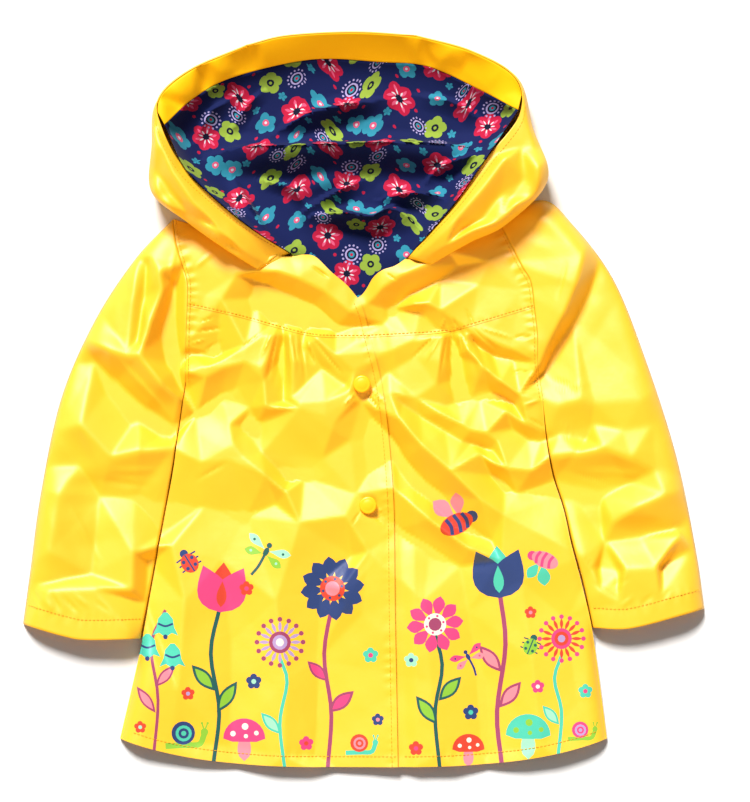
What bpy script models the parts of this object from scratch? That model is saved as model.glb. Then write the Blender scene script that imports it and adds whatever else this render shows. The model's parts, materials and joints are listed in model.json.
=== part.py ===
"""A child's hooded raincoat, laid on its back with the hood open to its lining.

Sizes are in millimetres and become metres as each mesh is made. X is the wearer's left, Y runs
from the hem to the hood, Z is up from the floor. The upper cloth of fronts, yokes and sleeves
is one height over the floor, so that panels meet level at their seams.
"""

import math

import bmesh
import bpy
import numpy as np

MM = 0.001
WALL = 1.2  # coated cloth with its backing
GAP = 0.3  # clear at each seam and between cloths that lie on each other
THICKEST = 2.6  # a steep wall is at most this much thicker when measured straight up

BODY_RISE, SLEEVE_RISE = 8.0, 12.0  # how far the upper cloth stands over the lower
EDGE_ROLL = 6.0  # how soon it rises from a folded edge or side seam
HEM_RISE = 0.8  # share of the rise that is left at the hem
HEM_SPAN = (150.0, 200.0)  # the body's rise is lowered out to these, and the sleeves' isn't
HEM_LEVEL, HEM_SAG, HEM_HALF, HEM_POWER = -284.0, 24.0, 204.5, 3.2

LAP_DIP, LAP_EDGE, LAP_EASE = 2.6, 4.0, 14.0  # how the right front sinks under the left
NECK_LIFT, NECK_REACH = 9.0, 46.0  # the yokes rise to the hood's ends
NECK_ENDS = ((-62.0, 116.0), (40.0, 116.0))

BUTTON_WIDTH, BUTTON_HEIGHT, BUTTON_BEVEL = 14.5, 3.4, 1.1
BUTTONS = {"button_upper": (-1.3, 13.4), "button_lower": (3.8, -88.2)}

YOKE_COLUMNS, YOKE_ROWS, SLEEVE_ROWS, SIDE_ROWS, ARM_ROWS = 16, 7, 26, 20, 6
UNDER_STEP = 4  # the flat lower cloth takes every fourth point of a seam
HOOD_ROWS, HOOD_COLUMNS, LINING_ROWS, LINING_COLUMNS = 20, 10, 16, 24

# Seams and edges, each from its upper or outer end: (x, y)
ARMHOLE_UPPER = {
    "left": ((-160, 152), (-157, 132), (-152, 114), (-147.5, 98), (-147.5, 79)),
    "right": ((112, 152), (120, 137), (132, 113), (140, 99), (143, 77.5)),
}
ARMHOLE_LOWER = {
    "left": ((-147.5, 79), (-148.5, 60), (-149, 38), (-149, 14)),
    "right": ((143, 77.5), (145.5, 55), (146, 30), (150, 2)),
}
YOKE_SEAM = {
    "left": ((-147.5, 79), (-103, 69), (-71, 60), (-39, 53), (6, 52)),
    "right": ((143, 77.5), (105, 66), (71, 57), (36, 54), (-26, 51)),
}
YOKE_TOP = {
    "left": ((-160, 152), (-112, 137), (-82, 122), (-60, 120.5), (-50, 122), (-40, 120), (-27, 107.5),
             (-14, 96.5), (-3.6, 84)),
    "right": ((112, 152), (76, 134), (56, 124), (40, 121), (26.5, 112.6), (16, 109), (8, 102.5),
              (-3, 87), (-30, 72)),
}
SIDE_SEAM = {
    "left": ((-149, 14), (-156.5, -58), (-169, -118), (-177.5, -168), (-188, -212), (-204.5, -284)),
    "right": ((150, 2), (153.5, -50), (166, -101), (181, -155), (192, -202), (204.5, -284)),
}
FRONT_EDGE = {
    "left": ((6, 52), (17, 4), (25, -80), (26.6, -180), (29, -308)),
    "right": ((-26, 51), (-15, 2), (-7, -82), (-5.4, -182), (-3, -308)),
}
YOKE_EDGE = {
    "left": ((-3.6, 84), (1, 72), (6, 52)),
    "right": ((-30, 72), (-29, 62), (-26, 51)),
}
SHOULDERS = ((-160, 152), (-112, 140), (-70, 133), (-24, 130), (30, 132), (72, 139), (112, 152))
SLEEVE_OUTER = {
    "left": ((-160, 152), (-192, 118), (-226, 66), (-254, 1), (-271, -78), (-280, -144), (-286, -188)),
    "right": ((112, 152), (150, 168), (176, 147), (210, 101), (237, 34), (262.5, -46), (279, -125),
              (286.3, -175)),
}
SLEEVE_INNER = {
    "left": ((-149, 14), (-158.5, -34), (-161.5, -58), (-167, -89), (-173.5, -125), (-178.5, -153),
             (-189, -200)),
    "right": ((150, 2), (155.5, -30), (162.5, -61), (171, -78), (182, -123), (187, -153), (195, -191)),
}
CUFF = {
    "left": ((-286, -188), (-251, -198), (-231, -201), (-189, -200)),
    "right": ((286.3, -175), (265, -181), (223, -191.5), (195, -191)),
}

# Soft folds, troughs where lift is negative: (from x, from y, to x, to y, lift, half width)
FRONT_FOLDS = (
    (-66, 56, -64, 0, -4.0, 9),
    (-58, 56, -56, 10, 3.0, 8),
    (-52, 54, -11, 14, 3.5, 9),
    (-140, 2, -72, 46, -4.0, 16),
    (-104, -29, -66, -67, 4.0, 18),
    (-140, -8, -95, -34, -3.5, 18),
    (-66, -25, -32, -63, -4.0, 16),
    (4, -127, -19, -158, -2.5, 9),
    (-118, -180, -128, -296, 3.0, 26),
    (-62, -190, -66, -300, -1.5, 24),
    (77, 54, 78, 0, -4.5, 8),
    (89, 56, 131, 32, 3.0, 9),
    (88, 14, 130, -2, -3.0, 9),
    (34, -12, 94, -122, -4.0, 16),
    (52, -4, 108, -86, 4.0, 18),
    (40, -102, 92, -134, -3.5, 13),
    (96, -52, 142, -76, -3.0, 12),
    (100, -170, 112, -290, -1.5, 26),
    (150, -180, 168, -280, 2.5, 22),
)
SLEEVE_FOLDS = (
    (-234, 50, -189, 37, 5.0, 12),
    (-189, 37, -156, 4, 4.0, 11),
    (-234, 42, -163, -31, -6.0, 15),
    (-178, 105, -164, 40, -5.0, 13),
    (-196, 116, -197, 42, -4.0, 13),
    (-262, -10, -224, -50, -4.0, 15),
    (-264, -62, -222, -58, 4.0, 12),
    (-250, -84, -168, -52, -5.0, 17),
    (-258, -108, -182, -96, 4.0, 19),
    (-262, -84, -230, -144, -3.0, 10),
    (-272, -134, -230, -150, -3.0, 12),
    (198, 120, 163, 58, -6.0, 14),
    (163, 58, 152, 28, -4.5, 12),
    (208, 100, 172, 40, 4.0, 14),
    (136, 145, 162, 134, -4.0, 12),
    (160, -10, 190, -30, -4.0, 16),
    (166, -60, 243, -60, -6.0, 17),
    (175, -90, 235, -88, 5.0, 18),
    (207, -105, 266, -107, -4.0, 11),
    (200, -122, 265, -116, 3.0, 11),
    (245, -140, 276, -124, -3.0, 12),
)
LINING_ROLLS = (
    (-118, 204, -10, 208, 16.0, 21),
    (-10, 208, 98, 204, 16.0, 21),
    (-62, 231, 14, 252, 8.0, 15),
    (-56, 176, -12, 192, 6.0, 12),
    (-42, 156, 30, 150, 9.0, 13),
    (20, 173, 62, 168, 8.0, 12),
)
# Pleats that fan from a gathered stretch of the yoke seam: (x, y, lean, lift)
GATHERS = ((-62, 58, -0.18, 2.2), (82, 60, 0.22, 2.2))
PLEATS, PLEAT_PITCH, PLEAT_FAN, PLEAT_LENGTH, PLEAT_HALF = 5, 7.0, 9.0, 46.0, 4.5

# The hood's sections from the neck to the crown: rim, outermost fold, and seam to the centre piece
# (rim x, rim y, rim z, fold x, fold y, fold z, seam x, seam y)
HOOD_SECTIONS = {
    "left": (
        (-62, 123, 30, -88, 109, 24, -72, 121),
        (-91, 141, 42, -114, 125, 21, -78, 130),
        (-120, 164, 47, -148, 149, 18, -78, 138),
        (-149, 193, 49, -177, 174, 15, -78, 156),
        (-167, 225, 46, -176, 213, 18, -79, 186),
        (-171, 252, 42, -173, 247, 20, -82, 218),
        (-145, 276, 38, -147, 274, 18, -86, 246),
        (-97, 297, 34, -98, 295, 16, -90, 270),
    ),
    "right": (
        (37, 119, 30, 52, 117, 23, 50, 125),
        (55, 139, 40, 86, 135, 20, 60, 134),
        (78, 166, 45, 120, 147, 17, 60, 140),
        (103, 202, 46, 154, 184, 15, 60, 156),
        (130, 238, 42, 141, 227, 18, 57, 190),
        (127, 270, 38, 129, 268, 18, 53, 228),
        (90, 292, 35, 91, 290, 16, 49, 258),
        (43, 305, 33, 44, 303, 16, 42, 280),
    ),
}
HOOD_TUCK = 14.0  # how far under its fold the hood meets the floor
CROWN = ((-97, 297, 34), (-64, 305, 33), (-8, 308, 33), (43, 305, 33))
NECK_LINE = ((-58, 123), (-12, 125), (36, 124))  # where the hood is sewn to the back
NECK_HOLE, NECK_MIDDLE = 44.0, -12.0  # half width and middle of the neck opening between the yokes

# The turned-in front edge of the hood lies inside the rim, down to this line: (x, y, z)
FACING_START, FACING_INSET, FACING_DROP = 0.62, 2.8, 1.2
FACING_INNER = ((-163, 231, 33), (-142, 252, 24), (-109, 270, 18), (-44, 285, 14), (15, 283, 13),
                (55, 279, 14), (98, 259, 19), (127, 243, 30))
FACING_COLUMNS, FACING_ROWS = 36, 3
# Edges that the lining climbs to: (x, y, height over its floor)
LINING_LEFT = ((-163, 229, 29), (-146, 193, 38), (-118, 166, 38), (-88, 143, 28), (-60, 124, 5))
LINING_RIGHT = ((127, 241, 26), (100, 203, 34), (75, 168, 34), (53, 142, 26), (36, 120, 5))
LINING_FLOOR, CLIMB, CROWN_CLIMB = 3.2, 9.0, 24.0
LINING_HEM = ((-60, 124), (-36, 118), (-10, 117), (14, 117), (36, 120))
NECK_HEM = ((-44, 84), (-24, 72), (-10, 70), (4, 72), (24, 86))

YELLOW = {"color": (1.0, 0.69, 0.01, 1.0), "rough": 0.45}
PRINTED = {"color": (0.02, 0.03, 0.15, 1.0), "rough": 0.7}
SNAP = {"color": (1.0, 0.72, 0.02, 1.0), "rough": 0.35}


def spline(points, count):
    """Even points along a smooth curve through the given ones."""
    pts = np.array(points, float)
    ends = np.vstack([2 * pts[0] - pts[1], pts, 2 * pts[-1] - pts[-2]])
    t = np.linspace(0, 1, 24, endpoint=False)[:, None]
    bends = []
    for a, b, c, d in zip(ends, ends[1:], ends[2:], ends[3:]):
        bends.append(0.5 * (2 * b + (c - a) * t + (2 * a - 5 * b + 4 * c - d) * t**2
                            + (3 * b - a - 3 * c + d) * t**3))
    fine = np.vstack([*bends, pts[-1:]])
    run = np.concatenate([[0], np.cumsum(np.linalg.norm(np.diff(fine, axis=0), axis=1))])
    at = np.linspace(0, run[-1], count)
    return np.column_stack([np.interp(at, run, fine[:, k]) for k in range(pts.shape[1])])


def joined(first, second):
    """Two curves as one, with their common point once."""
    return np.vstack([first, second[1:]])


def between(top, bottom, left, right):
    """Grid of points that fills the space between four edge curves."""
    u = np.linspace(0, 1, len(top))[None, :, None]
    v = np.linspace(0, 1, len(left))[:, None, None]
    level = (1 - v) * top[None] + v * bottom[None]
    upright = (1 - u) * left[:, None] + u * right[:, None]
    corners = (1 - v) * ((1 - u) * top[0] + u * top[-1]) + v * ((1 - u) * bottom[0] + u * bottom[-1])
    return level + upright - corners


def drawn_in(grid):
    """The grid with its outer rows moved in by half a seam's gap."""
    out = grid.copy()
    for axis in (0, 1):
        for edge, inner in ((0, 1), (-1, -2)):
            step = np.take(grid, inner, axis) - np.take(grid, edge, axis)
            step *= GAP / 2 / np.linalg.norm(step, axis=-1, keepdims=True)
            target = out[edge] if axis == 0 else out[:, edge]
            target += step
    return out


def distance(x, y, curve):
    """(how far each point is from a curve, how far along the curve its nearest point is)."""
    best = np.full(np.shape(x), np.inf)
    place = np.zeros(np.shape(x))
    for i, (a, b) in enumerate(zip(curve[:-1], curve[1:])):
        dx, dy = b[0] - a[0], b[1] - a[1]
        t = np.clip(((x - a[0]) * dx + (y - a[1]) * dy) / (dx * dx + dy * dy), 0, 1)
        d = np.hypot(x - a[0] - t * dx, y - a[1] - t * dy)
        place = np.where(d < best, i + t, place)
        best = np.minimum(d, best)
    return best, place


def folds(x, y, table):
    """Height that a table of soft folds adds."""
    total = np.zeros(np.shape(x))
    for ax, ay, bx, by, lift, half in table:
        dx, dy = bx - ax, by - ay
        t = np.clip(((x - ax) * dx + (y - ay) * dy) / (dx * dx + dy * dy), 0, 1)
        across = np.hypot(x - ax - t * dx, y - ay - t * dy) / half
        fade = 0.35 + 0.65 * np.sin(math.pi * t)
        total += lift * fade * np.clip(1 - across**2, 0, None) ** 2
    return total


def pleats():
    """The small folds that fan from both gathered stretches, as rows of a fold table."""
    rows = []
    for x, y, lean, lift in GATHERS:
        for k in range(PLEATS):
            side = k - (PLEATS - 1) / 2
            length = PLEAT_LENGTH * (1 - 0.12 * abs(side))
            start = x + side * PLEAT_PITCH
            end = start + side * (PLEAT_FAN - PLEAT_PITCH) + lean * length
            rows.append((start, y - 1, end, y - length, lift, PLEAT_HALF))
    return tuple(rows)


def smooth(t):
    """Ease from 0 to 1."""
    t = np.clip(t, 0, 1)
    return t * t * (3 - 2 * t)


def upper_cloth(x, y, creased=True):
    """Under face of the fronts, yokes and sleeve tops, over the floor, with its folds if creased."""
    side = np.full(np.shape(x), np.inf)
    for edges in (SIDE_SEAM, SLEEVE_OUTER, SLEEVE_INNER):
        for edge in edges.values():
            side = np.minimum(side, distance(x, y, spline(edge, 30))[0])
    shoulders = distance(x, y, spline(SHOULDERS, 30))[0]
    rise = BODY_RISE + (SLEEVE_RISE - BODY_RISE) * smooth((np.abs(x) - 140) / 60)
    on_body = smooth((HEM_SPAN[1] - np.abs(x)) / (HEM_SPAN[1] - HEM_SPAN[0]))
    rise = rise * (1 - (1 - HEM_RISE) * smooth((-y - 60) / 240) * on_body)
    high = rise + folds(x, y, (*FRONT_FOLDS, *SLEEVE_FOLDS, *pleats()) if creased else ())
    for nx, ny in NECK_ENDS:
        high = high + NECK_LIFT * smooth(1 - np.hypot(x - nx, y - ny) / NECK_REACH)
    rolled = (1 - np.exp(-side / EDGE_ROLL)) * (1 - np.exp(-shoulders / (2 * EDGE_ROLL)))
    return WALL + GAP + np.clip(high, 1.0, None) * rolled


def lapped_cloth(x, y):
    """Under face of the right front and yoke, which dip to pass under the left ones."""
    edge = joined(spline(YOKE_EDGE["left"], 6), spline(FRONT_EDGE["left"], 30))
    near = np.interp(-y, -edge[:, 1], edge[:, 0])
    return upper_cloth(x, y) - LAP_DIP * smooth(1 - (x - near - LAP_EDGE) / LAP_EASE)


def lining_cloth(x, y):
    """Under face of the hood's lining, which climbs to the rims and the turned-in edge."""
    climb = np.zeros(np.shape(x))
    for edge in (LINING_LEFT, LINING_RIGHT):
        curve = spline(edge, 25)
        d, place = distance(x, y, curve)
        high = np.interp(place, np.arange(len(curve)), curve[:, 2])
        climb = climb + (high * np.exp(-d / CLIMB)) ** 4
    crown = spline(FACING_INNER, 25)
    d, place = distance(x, y, crown)
    high = np.interp(place, np.arange(len(crown)), crown[:, 2]) - LINING_FLOOR
    climb = climb + (high * np.exp(-d / CROWN_CLIMB)) ** 4
    return LINING_FLOOR + climb**0.25 + folds(x, y, LINING_ROLLS)


def laid(grid, height):
    """The flat grid with each point at its height."""
    return np.dstack([grid[..., 0], grid[..., 1], height(grid[..., 0], grid[..., 1])])


def upward(grid):
    """Thickness of the wall straight up at each point, so that it stays even across its slope."""
    down, along = np.gradient(grid, axis=0), np.gradient(grid, axis=1)
    normal = np.cross(down, along)
    level = np.abs(normal[..., 2]) / np.linalg.norm(normal, axis=-1)
    return WALL * np.minimum(1 / np.maximum(level, 0.1), THICKEST)


def finished(name, bm, finish):
    """A named object from a bmesh in millimetres, with its own material."""
    bmesh.ops.recalc_face_normals(bm, faces=bm.faces[:])
    bmesh.ops.scale(bm, vec=(MM, MM, MM), verts=bm.verts[:])
    mesh = bpy.data.meshes.new(name)
    bm.to_mesh(mesh)
    bm.free()
    mesh.shade_smooth()
    mesh.set_sharp_from_angle(angle=math.radians(50))
    material = bpy.data.materials.new(name)
    material.use_nodes = True
    shader = material.node_tree.nodes["Principled BSDF"]
    shader.inputs["Base Color"].default_value = finish["color"]
    shader.inputs["Roughness"].default_value = finish["rough"]
    shader.inputs["Metallic"].default_value = 0.0
    mesh.materials.append(material)
    piece = bpy.data.objects.new(name, mesh)
    coat_collection().objects.link(piece)
    return piece


def coat_collection():
    """The collection that holds the raincoat's pieces."""
    found = bpy.data.collections.get("raincoat")
    if found is None:
        found = bpy.data.collections.new("raincoat")
        bpy.context.scene.collection.children.link(found)
    return found


def surface(bm, grid, closed=False):
    """Faces of a grid of points in the bmesh, closed into a tube where asked."""
    verts = [[bm.verts.new(p) for p in row] for row in grid]
    columns = len(verts[0]) if closed else len(verts[0]) - 1
    for upper, lower in zip(verts, verts[1:]):
        for k in range(columns):
            n = (k + 1) % len(upper)
            bm.faces.new((upper[k], upper[n], lower[n], lower[k]))
    return verts


def ring(rows):
    """What lies round the edge of a grid, in order."""
    sides = [row[-1] for row in rows[1:-1]], [row[0] for row in rows[-2:0:-1]]
    return [*rows[0], *sides[0], *rows[-1][::-1], *sides[1]]


def panel(name, grid, finish):
    """A wall of cloth whose under face is the grid, thickened straight up."""
    bm = bmesh.new()
    thick = upward(grid)
    under = surface(bm, grid)
    over = surface(bm, grid + np.dstack([np.zeros_like(thick), np.zeros_like(thick), thick]))
    low, high = ring(under), ring(over)
    for k in range(len(low)):
        n = (k + 1) % len(low)
        bm.faces.new((low[k], low[n], high[n], high[k]))
    return finished(name, bm, finish)


def armhole(side):
    """The whole armhole seam, from the shoulder to the underarm."""
    return joined(spline(ARMHOLE_UPPER[side], YOKE_ROWS + 1), spline(ARMHOLE_LOWER[side], ARM_ROWS + 1))


def hem(start, end, count):
    """The hem between two points, in the sag that it has as it lies."""
    x = np.linspace(start, end, count)
    return np.column_stack([x, HEM_LEVEL - HEM_SAG * (1 - np.abs(x / HEM_HALF) ** HEM_POWER)])


def yoke(side):
    """The yoke of one front, from the shoulder and neck to the gathered seam."""
    grid = between(
        spline(YOKE_TOP[side], YOKE_COLUMNS + 1),
        spline(YOKE_SEAM[side], YOKE_COLUMNS + 1),
        spline(ARMHOLE_UPPER[side], YOKE_ROWS + 1),
        spline(YOKE_EDGE[side], YOKE_ROWS + 1),
    )
    cloth = upper_cloth if side == "left" else lapped_cloth
    return panel(f"yoke_{side}", laid(drawn_in(grid), cloth), YELLOW)


def front(side):
    """One front below its yoke, gathered into the seam, down to the hem."""
    outer = joined(spline(ARMHOLE_LOWER[side], ARM_ROWS + 1), spline(SIDE_SEAM[side], SIDE_ROWS + 1))
    inner = spline(FRONT_EDGE[side], len(outer))
    low = hem(outer[-1, 0], inner[-1, 0], YOKE_COLUMNS + 1)
    outer[-1], inner[-1] = low[0], low[-1]
    grid = between(spline(YOKE_SEAM[side], YOKE_COLUMNS + 1), low, outer, inner)
    cloth = upper_cloth if side == "left" else lapped_cloth
    return panel(f"front_{side}", laid(drawn_in(grid), cloth), YELLOW)


def back():
    """The back, flat on the floor from the shoulders to the hem."""
    sides = {}
    for side in ("left", "right"):
        arm = armhole(side)[:: UNDER_STEP]
        arm = arm if np.allclose(arm[-1], ARMHOLE_LOWER[side][-1]) else np.vstack([arm, ARMHOLE_LOWER[side][-1]])
        sides[side] = joined(arm, spline(SIDE_SEAM[side], SIDE_ROWS // 2 + 1))
    columns = YOKE_COLUMNS - 2
    low = hem(-HEM_HALF, HEM_HALF, columns + 1)
    sides["left"][-1], sides["right"][-1] = low[0], low[-1]
    grid = drawn_in(between(spline(SHOULDERS, columns + 1), low, sides["left"], sides["right"]))
    return panel("back", laid(grid, lambda x, y: np.zeros(np.shape(x))), YELLOW)


def sleeve(side):
    """A sleeve laid flat: a tube with its lower cloth on the floor, open at armhole and cuff."""
    arm = armhole(side)
    columns = len(arm)
    outer, inner = spline(SLEEVE_OUTER[side], SLEEVE_ROWS + 1), spline(SLEEVE_INNER[side], SLEEVE_ROWS + 1)
    grid = drawn_in(between(arm, spline(CUFF[side], columns), outer, inner))
    top = laid(grid, upper_cloth)
    thick = upward(top)
    picks = sorted({*range(0, columns, UNDER_STEP), columns - 1}, reverse=True)[1:-1]
    fold_height = WALL + GAP / 2
    inset = WALL / np.linalg.norm(grid[:, 0] - grid[:, -1], axis=-1)[:, None]
    outside, inside = [], []
    for r in range(SLEEVE_ROWS + 1):
        edge_a, edge_b = grid[r, 0], grid[r, -1]
        inward = (edge_b - edge_a) * inset[r]
        over = np.column_stack([grid[r, 1:-1], top[r, 1:-1, 2] + thick[r, 1:-1]])
        lining = np.column_stack([grid[r, 1:-1], top[r, 1:-1, 2]])
        under = np.column_stack([grid[r, picks], np.zeros(len(picks))])
        ends = [(*edge_a, fold_height), (*edge_b, fold_height)]
        inner_ends = [(*(edge_a + inward), fold_height), (*(edge_b - inward), fold_height)]
        outside.append(np.vstack([ends[:1], over, ends[1:], under]))
        inside.append(np.vstack([inner_ends[:1], lining, inner_ends[1:], under + (0, 0, WALL)]))
    bm = bmesh.new()
    shell = surface(bm, outside, closed=True)
    hollow = surface(bm, inside, closed=True)
    for row in (0, -1):
        for k in range(len(shell[row])):
            n = (k + 1) % len(shell[row])
            bm.faces.new((shell[row][k], shell[row][n], hollow[row][n], hollow[row][k]))
    return finished(f"sleeve_{side}", bm, YELLOW)


def over_body(points):
    """Points of the hood's outer face, lifted off the yokes, sleeves and back that they lie on."""
    x, y, z = points[..., 0], points[..., 1], points[..., 2]
    line = np.vstack([SLEEVE_OUTER["left"][1], *SHOULDERS, *SLEEVE_OUTER["right"][1:3]])
    over_top = smooth((np.interp(x, line[:, 0], line[:, 1]) + 8 - y) / 6)
    over_top = over_top * smooth((np.abs(x - NECK_MIDDLE) - NECK_HOLE) / 14)
    rest = (upper_cloth(x, y, creased=False) + WALL * THICKEST + GAP) * over_top
    lap = (WALL + GAP) * smooth((line[:, 1].max() + 8 - y) / 8)
    return np.dstack([x, y, np.maximum(z, np.maximum(rest, lap))])


def hood_grid(side):
    """Outer face of a hood side: rows from the neck to the crown, columns from rim to seam."""
    rows = spline(HOOD_SECTIONS[side], HOOD_ROWS + 1)
    grid = []
    for rx, ry, rz, fx, fy, fz, sx, sy in rows:
        fold, seam = np.array((fx, fy)), np.array((sx, sy))
        reach = np.linalg.norm(seam - fold)
        tuck = fold + (seam - fold) * min(HOOD_TUCK / reach, 0.5)
        grid.append(spline(((rx, ry, rz), (fx, fy, fz), (*tuck, 0.0), (sx, sy, 0.0)), HOOD_COLUMNS + 1))
    grid = np.array(grid)
    grid[..., 2] = np.maximum(grid[..., 2], 0.0)
    return over_body(grid)


def hood_shell(name, grid):
    """A hood piece: the open outer face, thickened inward."""
    bm = bmesh.new()
    surface(bm, grid)
    piece = finished(name, bm, YELLOW)
    wall = piece.modifiers.new("wall", "SOLIDIFY")
    wall.thickness = WALL * MM
    wall.offset = -1.0
    wall.use_even_offset = True
    return piece


def hood():
    """The hood's two sides and its centre piece, which runs under the lining to the back neck."""
    grids = {side: hood_grid(side) for side in ("left", "right")}
    seams = {side: joined(grid[-1], grid[::-1, -1]) for side, grid in grids.items()}
    for side, grid in grids.items():
        hood_shell(f"hood_side_{side}", drawn_in(grid))
    columns = HOOD_COLUMNS - 2
    low = [(x, y, WALL + GAP) for x, y in NECK_LINE]
    neck = spline((seams["left"][-1], *low, seams["right"][-1]), columns + 1)
    centre = between(spline(CROWN, columns + 1), neck, seams["left"], seams["right"])
    hood_shell("hood_centre", over_body(drawn_in(drawn_in(centre))))
    first = int(FACING_START * HOOD_ROWS)
    return np.vstack([grids["left"][first:, 0], spline(CROWN, columns + 1)[1:-1], grids["right"][:first - 1:-1, 0]])


def facing(rim):
    """The hood's turned-in edge, between the rim and the lining."""
    inner = spline(FACING_INNER, FACING_COLUMNS + 1)
    outer = spline(rim, FACING_COLUMNS + 1)
    inward = inner[:, :2] - outer[:, :2]
    outer[:, :2] += inward * (FACING_INSET / np.linalg.norm(inward, axis=1, keepdims=True))
    outer[:, 2] -= FACING_DROP
    ends = [spline((outer[k], inner[k]), FACING_ROWS + 1) for k in (0, -1)]
    panel("hood_facing", drawn_in(between(outer, inner, *ends)), YELLOW)


def lining():
    """The printed lining of the hood and of the back neck."""
    grid = between(
        spline(FACING_INNER, LINING_COLUMNS + 1)[:, :2],
        spline(LINING_HEM, LINING_COLUMNS + 1),
        spline(joined(np.array(FACING_INNER[:1]), np.array(LINING_LEFT)), LINING_ROWS + 1)[:, :2],
        spline(joined(np.array(FACING_INNER[-1:]), np.array(LINING_RIGHT)), LINING_ROWS + 1)[:, :2],
    )
    panel("hood_lining", laid(drawn_in(grid), lining_cloth), PRINTED)
    columns, rows = LINING_COLUMNS // 2, LINING_ROWS // 3
    low = spline(NECK_HEM, columns + 1)
    high = spline(LINING_HEM, columns + 1)
    grid = between(high, low, spline((high[0], low[0]), rows + 1), spline((high[-1], low[-1]), rows + 1))
    panel("neck_lining", laid(drawn_in(grid), lining_cloth), PRINTED)


def button(name, x, y):
    """A domed snap cap that stands on the left front."""
    bm = bmesh.new()
    radius = BUTTON_WIDTH / 2
    bmesh.ops.create_cone(bm, cap_ends=True, segments=20, radius1=radius, radius2=radius, depth=BUTTON_HEIGHT)
    rim = [e for e in bm.edges if all(v.co.z > 0 for v in e.verts)]
    bmesh.ops.bevel(bm, geom=rim, offset=BUTTON_BEVEL, segments=2, affect="EDGES")
    turn = np.linspace(0, 2 * math.pi, 24)
    ring = np.linspace(0, radius, 5)[:, None]
    under = upper_cloth(x + ring * np.cos(turn), y + ring * np.sin(turn)).max() + WALL * 1.15
    bmesh.ops.translate(bm, vec=(x, y, under + GAP + BUTTON_HEIGHT / 2), verts=bm.verts[:])
    return finished(name, bm, SNAP)


def main():
    for old in list(bpy.data.objects):
        bpy.data.objects.remove(old, do_unlink=True)
    back()
    for side in ("left", "right"):
        front(side)
        yoke(side)
        sleeve(side)
    facing(hood())
    lining()
    for name, (x, y) in BUTTONS.items():
        button(name, x, y)


main()
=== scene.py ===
"""A child's yellow hooded raincoat, laid on its back on white and seen from straight above.

The coat lies with its front shut by two snaps and its hood open to a printed lining. Each cloth is
a thin shell on the form of its CAD solid, with the creases, gathers, prints and sewing of the
photo added. Sizes are in millimetres and become metres as each mesh is made. X is the wearer's
left, Y runs from the hem to the hood, Z is up from the floor. In names, left and right are the
picture's sides, so that the left front is the wearer's right one.
"""

import json
import logging
import math
from dataclasses import dataclass, field
from enum import Enum
from itertools import product
from typing import Callable, Iterable, Sequence

import bmesh
import bpy
import numpy as np
from mathutils.geometry import delaunay_2d_cdt
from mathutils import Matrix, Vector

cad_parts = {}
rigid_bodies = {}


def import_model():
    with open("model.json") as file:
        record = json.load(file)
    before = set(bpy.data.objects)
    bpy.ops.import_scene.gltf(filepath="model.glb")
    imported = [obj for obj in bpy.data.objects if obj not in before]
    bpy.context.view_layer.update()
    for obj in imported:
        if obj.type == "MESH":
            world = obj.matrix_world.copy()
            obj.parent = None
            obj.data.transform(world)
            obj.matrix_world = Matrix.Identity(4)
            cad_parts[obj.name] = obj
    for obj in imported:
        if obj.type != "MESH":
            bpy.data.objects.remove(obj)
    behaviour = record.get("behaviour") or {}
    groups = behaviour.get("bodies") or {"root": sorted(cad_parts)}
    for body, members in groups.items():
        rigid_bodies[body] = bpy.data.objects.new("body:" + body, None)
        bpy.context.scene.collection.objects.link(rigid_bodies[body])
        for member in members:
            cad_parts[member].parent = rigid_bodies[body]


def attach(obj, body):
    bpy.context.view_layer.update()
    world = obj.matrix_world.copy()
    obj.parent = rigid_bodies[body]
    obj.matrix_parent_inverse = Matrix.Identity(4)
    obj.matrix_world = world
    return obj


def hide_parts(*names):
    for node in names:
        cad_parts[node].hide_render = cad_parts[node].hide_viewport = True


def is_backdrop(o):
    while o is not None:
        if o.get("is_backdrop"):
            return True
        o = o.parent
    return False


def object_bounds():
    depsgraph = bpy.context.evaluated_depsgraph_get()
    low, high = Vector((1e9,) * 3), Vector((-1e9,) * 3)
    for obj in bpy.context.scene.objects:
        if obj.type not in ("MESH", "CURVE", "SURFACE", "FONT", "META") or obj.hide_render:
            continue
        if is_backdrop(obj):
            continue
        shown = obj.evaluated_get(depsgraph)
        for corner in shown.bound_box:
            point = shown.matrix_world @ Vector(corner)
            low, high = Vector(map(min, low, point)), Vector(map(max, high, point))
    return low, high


LOG = logging.getLogger("raincoat")
Height = Callable[[np.ndarray, np.ndarray], np.ndarray]
Points = Sequence[Sequence[float]]
Creases = tuple[tuple[tuple[float, float, float], ...], ...]
Spot = tuple[float, float]
Rows = Iterable[tuple[float, ...]]
SewnLine = tuple[np.ndarray, float, float, float]

SIDES = ("left", "right")
MM = 0.001  # metres in the script's own unit
WALL = 1.2  # thickness of each shell
GAP = 0.3  # clearance at seams and between layers
THICKEST = 2.6  # how thick a steep wall may measure straight up, in walls


# ---------------------------------------------------------------------------------------------
# Finishes
# ---------------------------------------------------------------------------------------------


def linear(red: int, green: int, blue: int) -> tuple[float, float, float, float]:
    """A display colour as the linear one that a shader takes.

    Args:
        red, green, blue: Parts of the colour, from 0 to 255.

    Returns:
        Linear red, green, blue and alpha.
    """
    shares = [c / 255 for c in (red, green, blue)]
    return (*[c / 12.92 if c <= 10 / 255 else ((c + 0.055) / 1.055) ** 2.4 for c in shares], 1.0)


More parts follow.
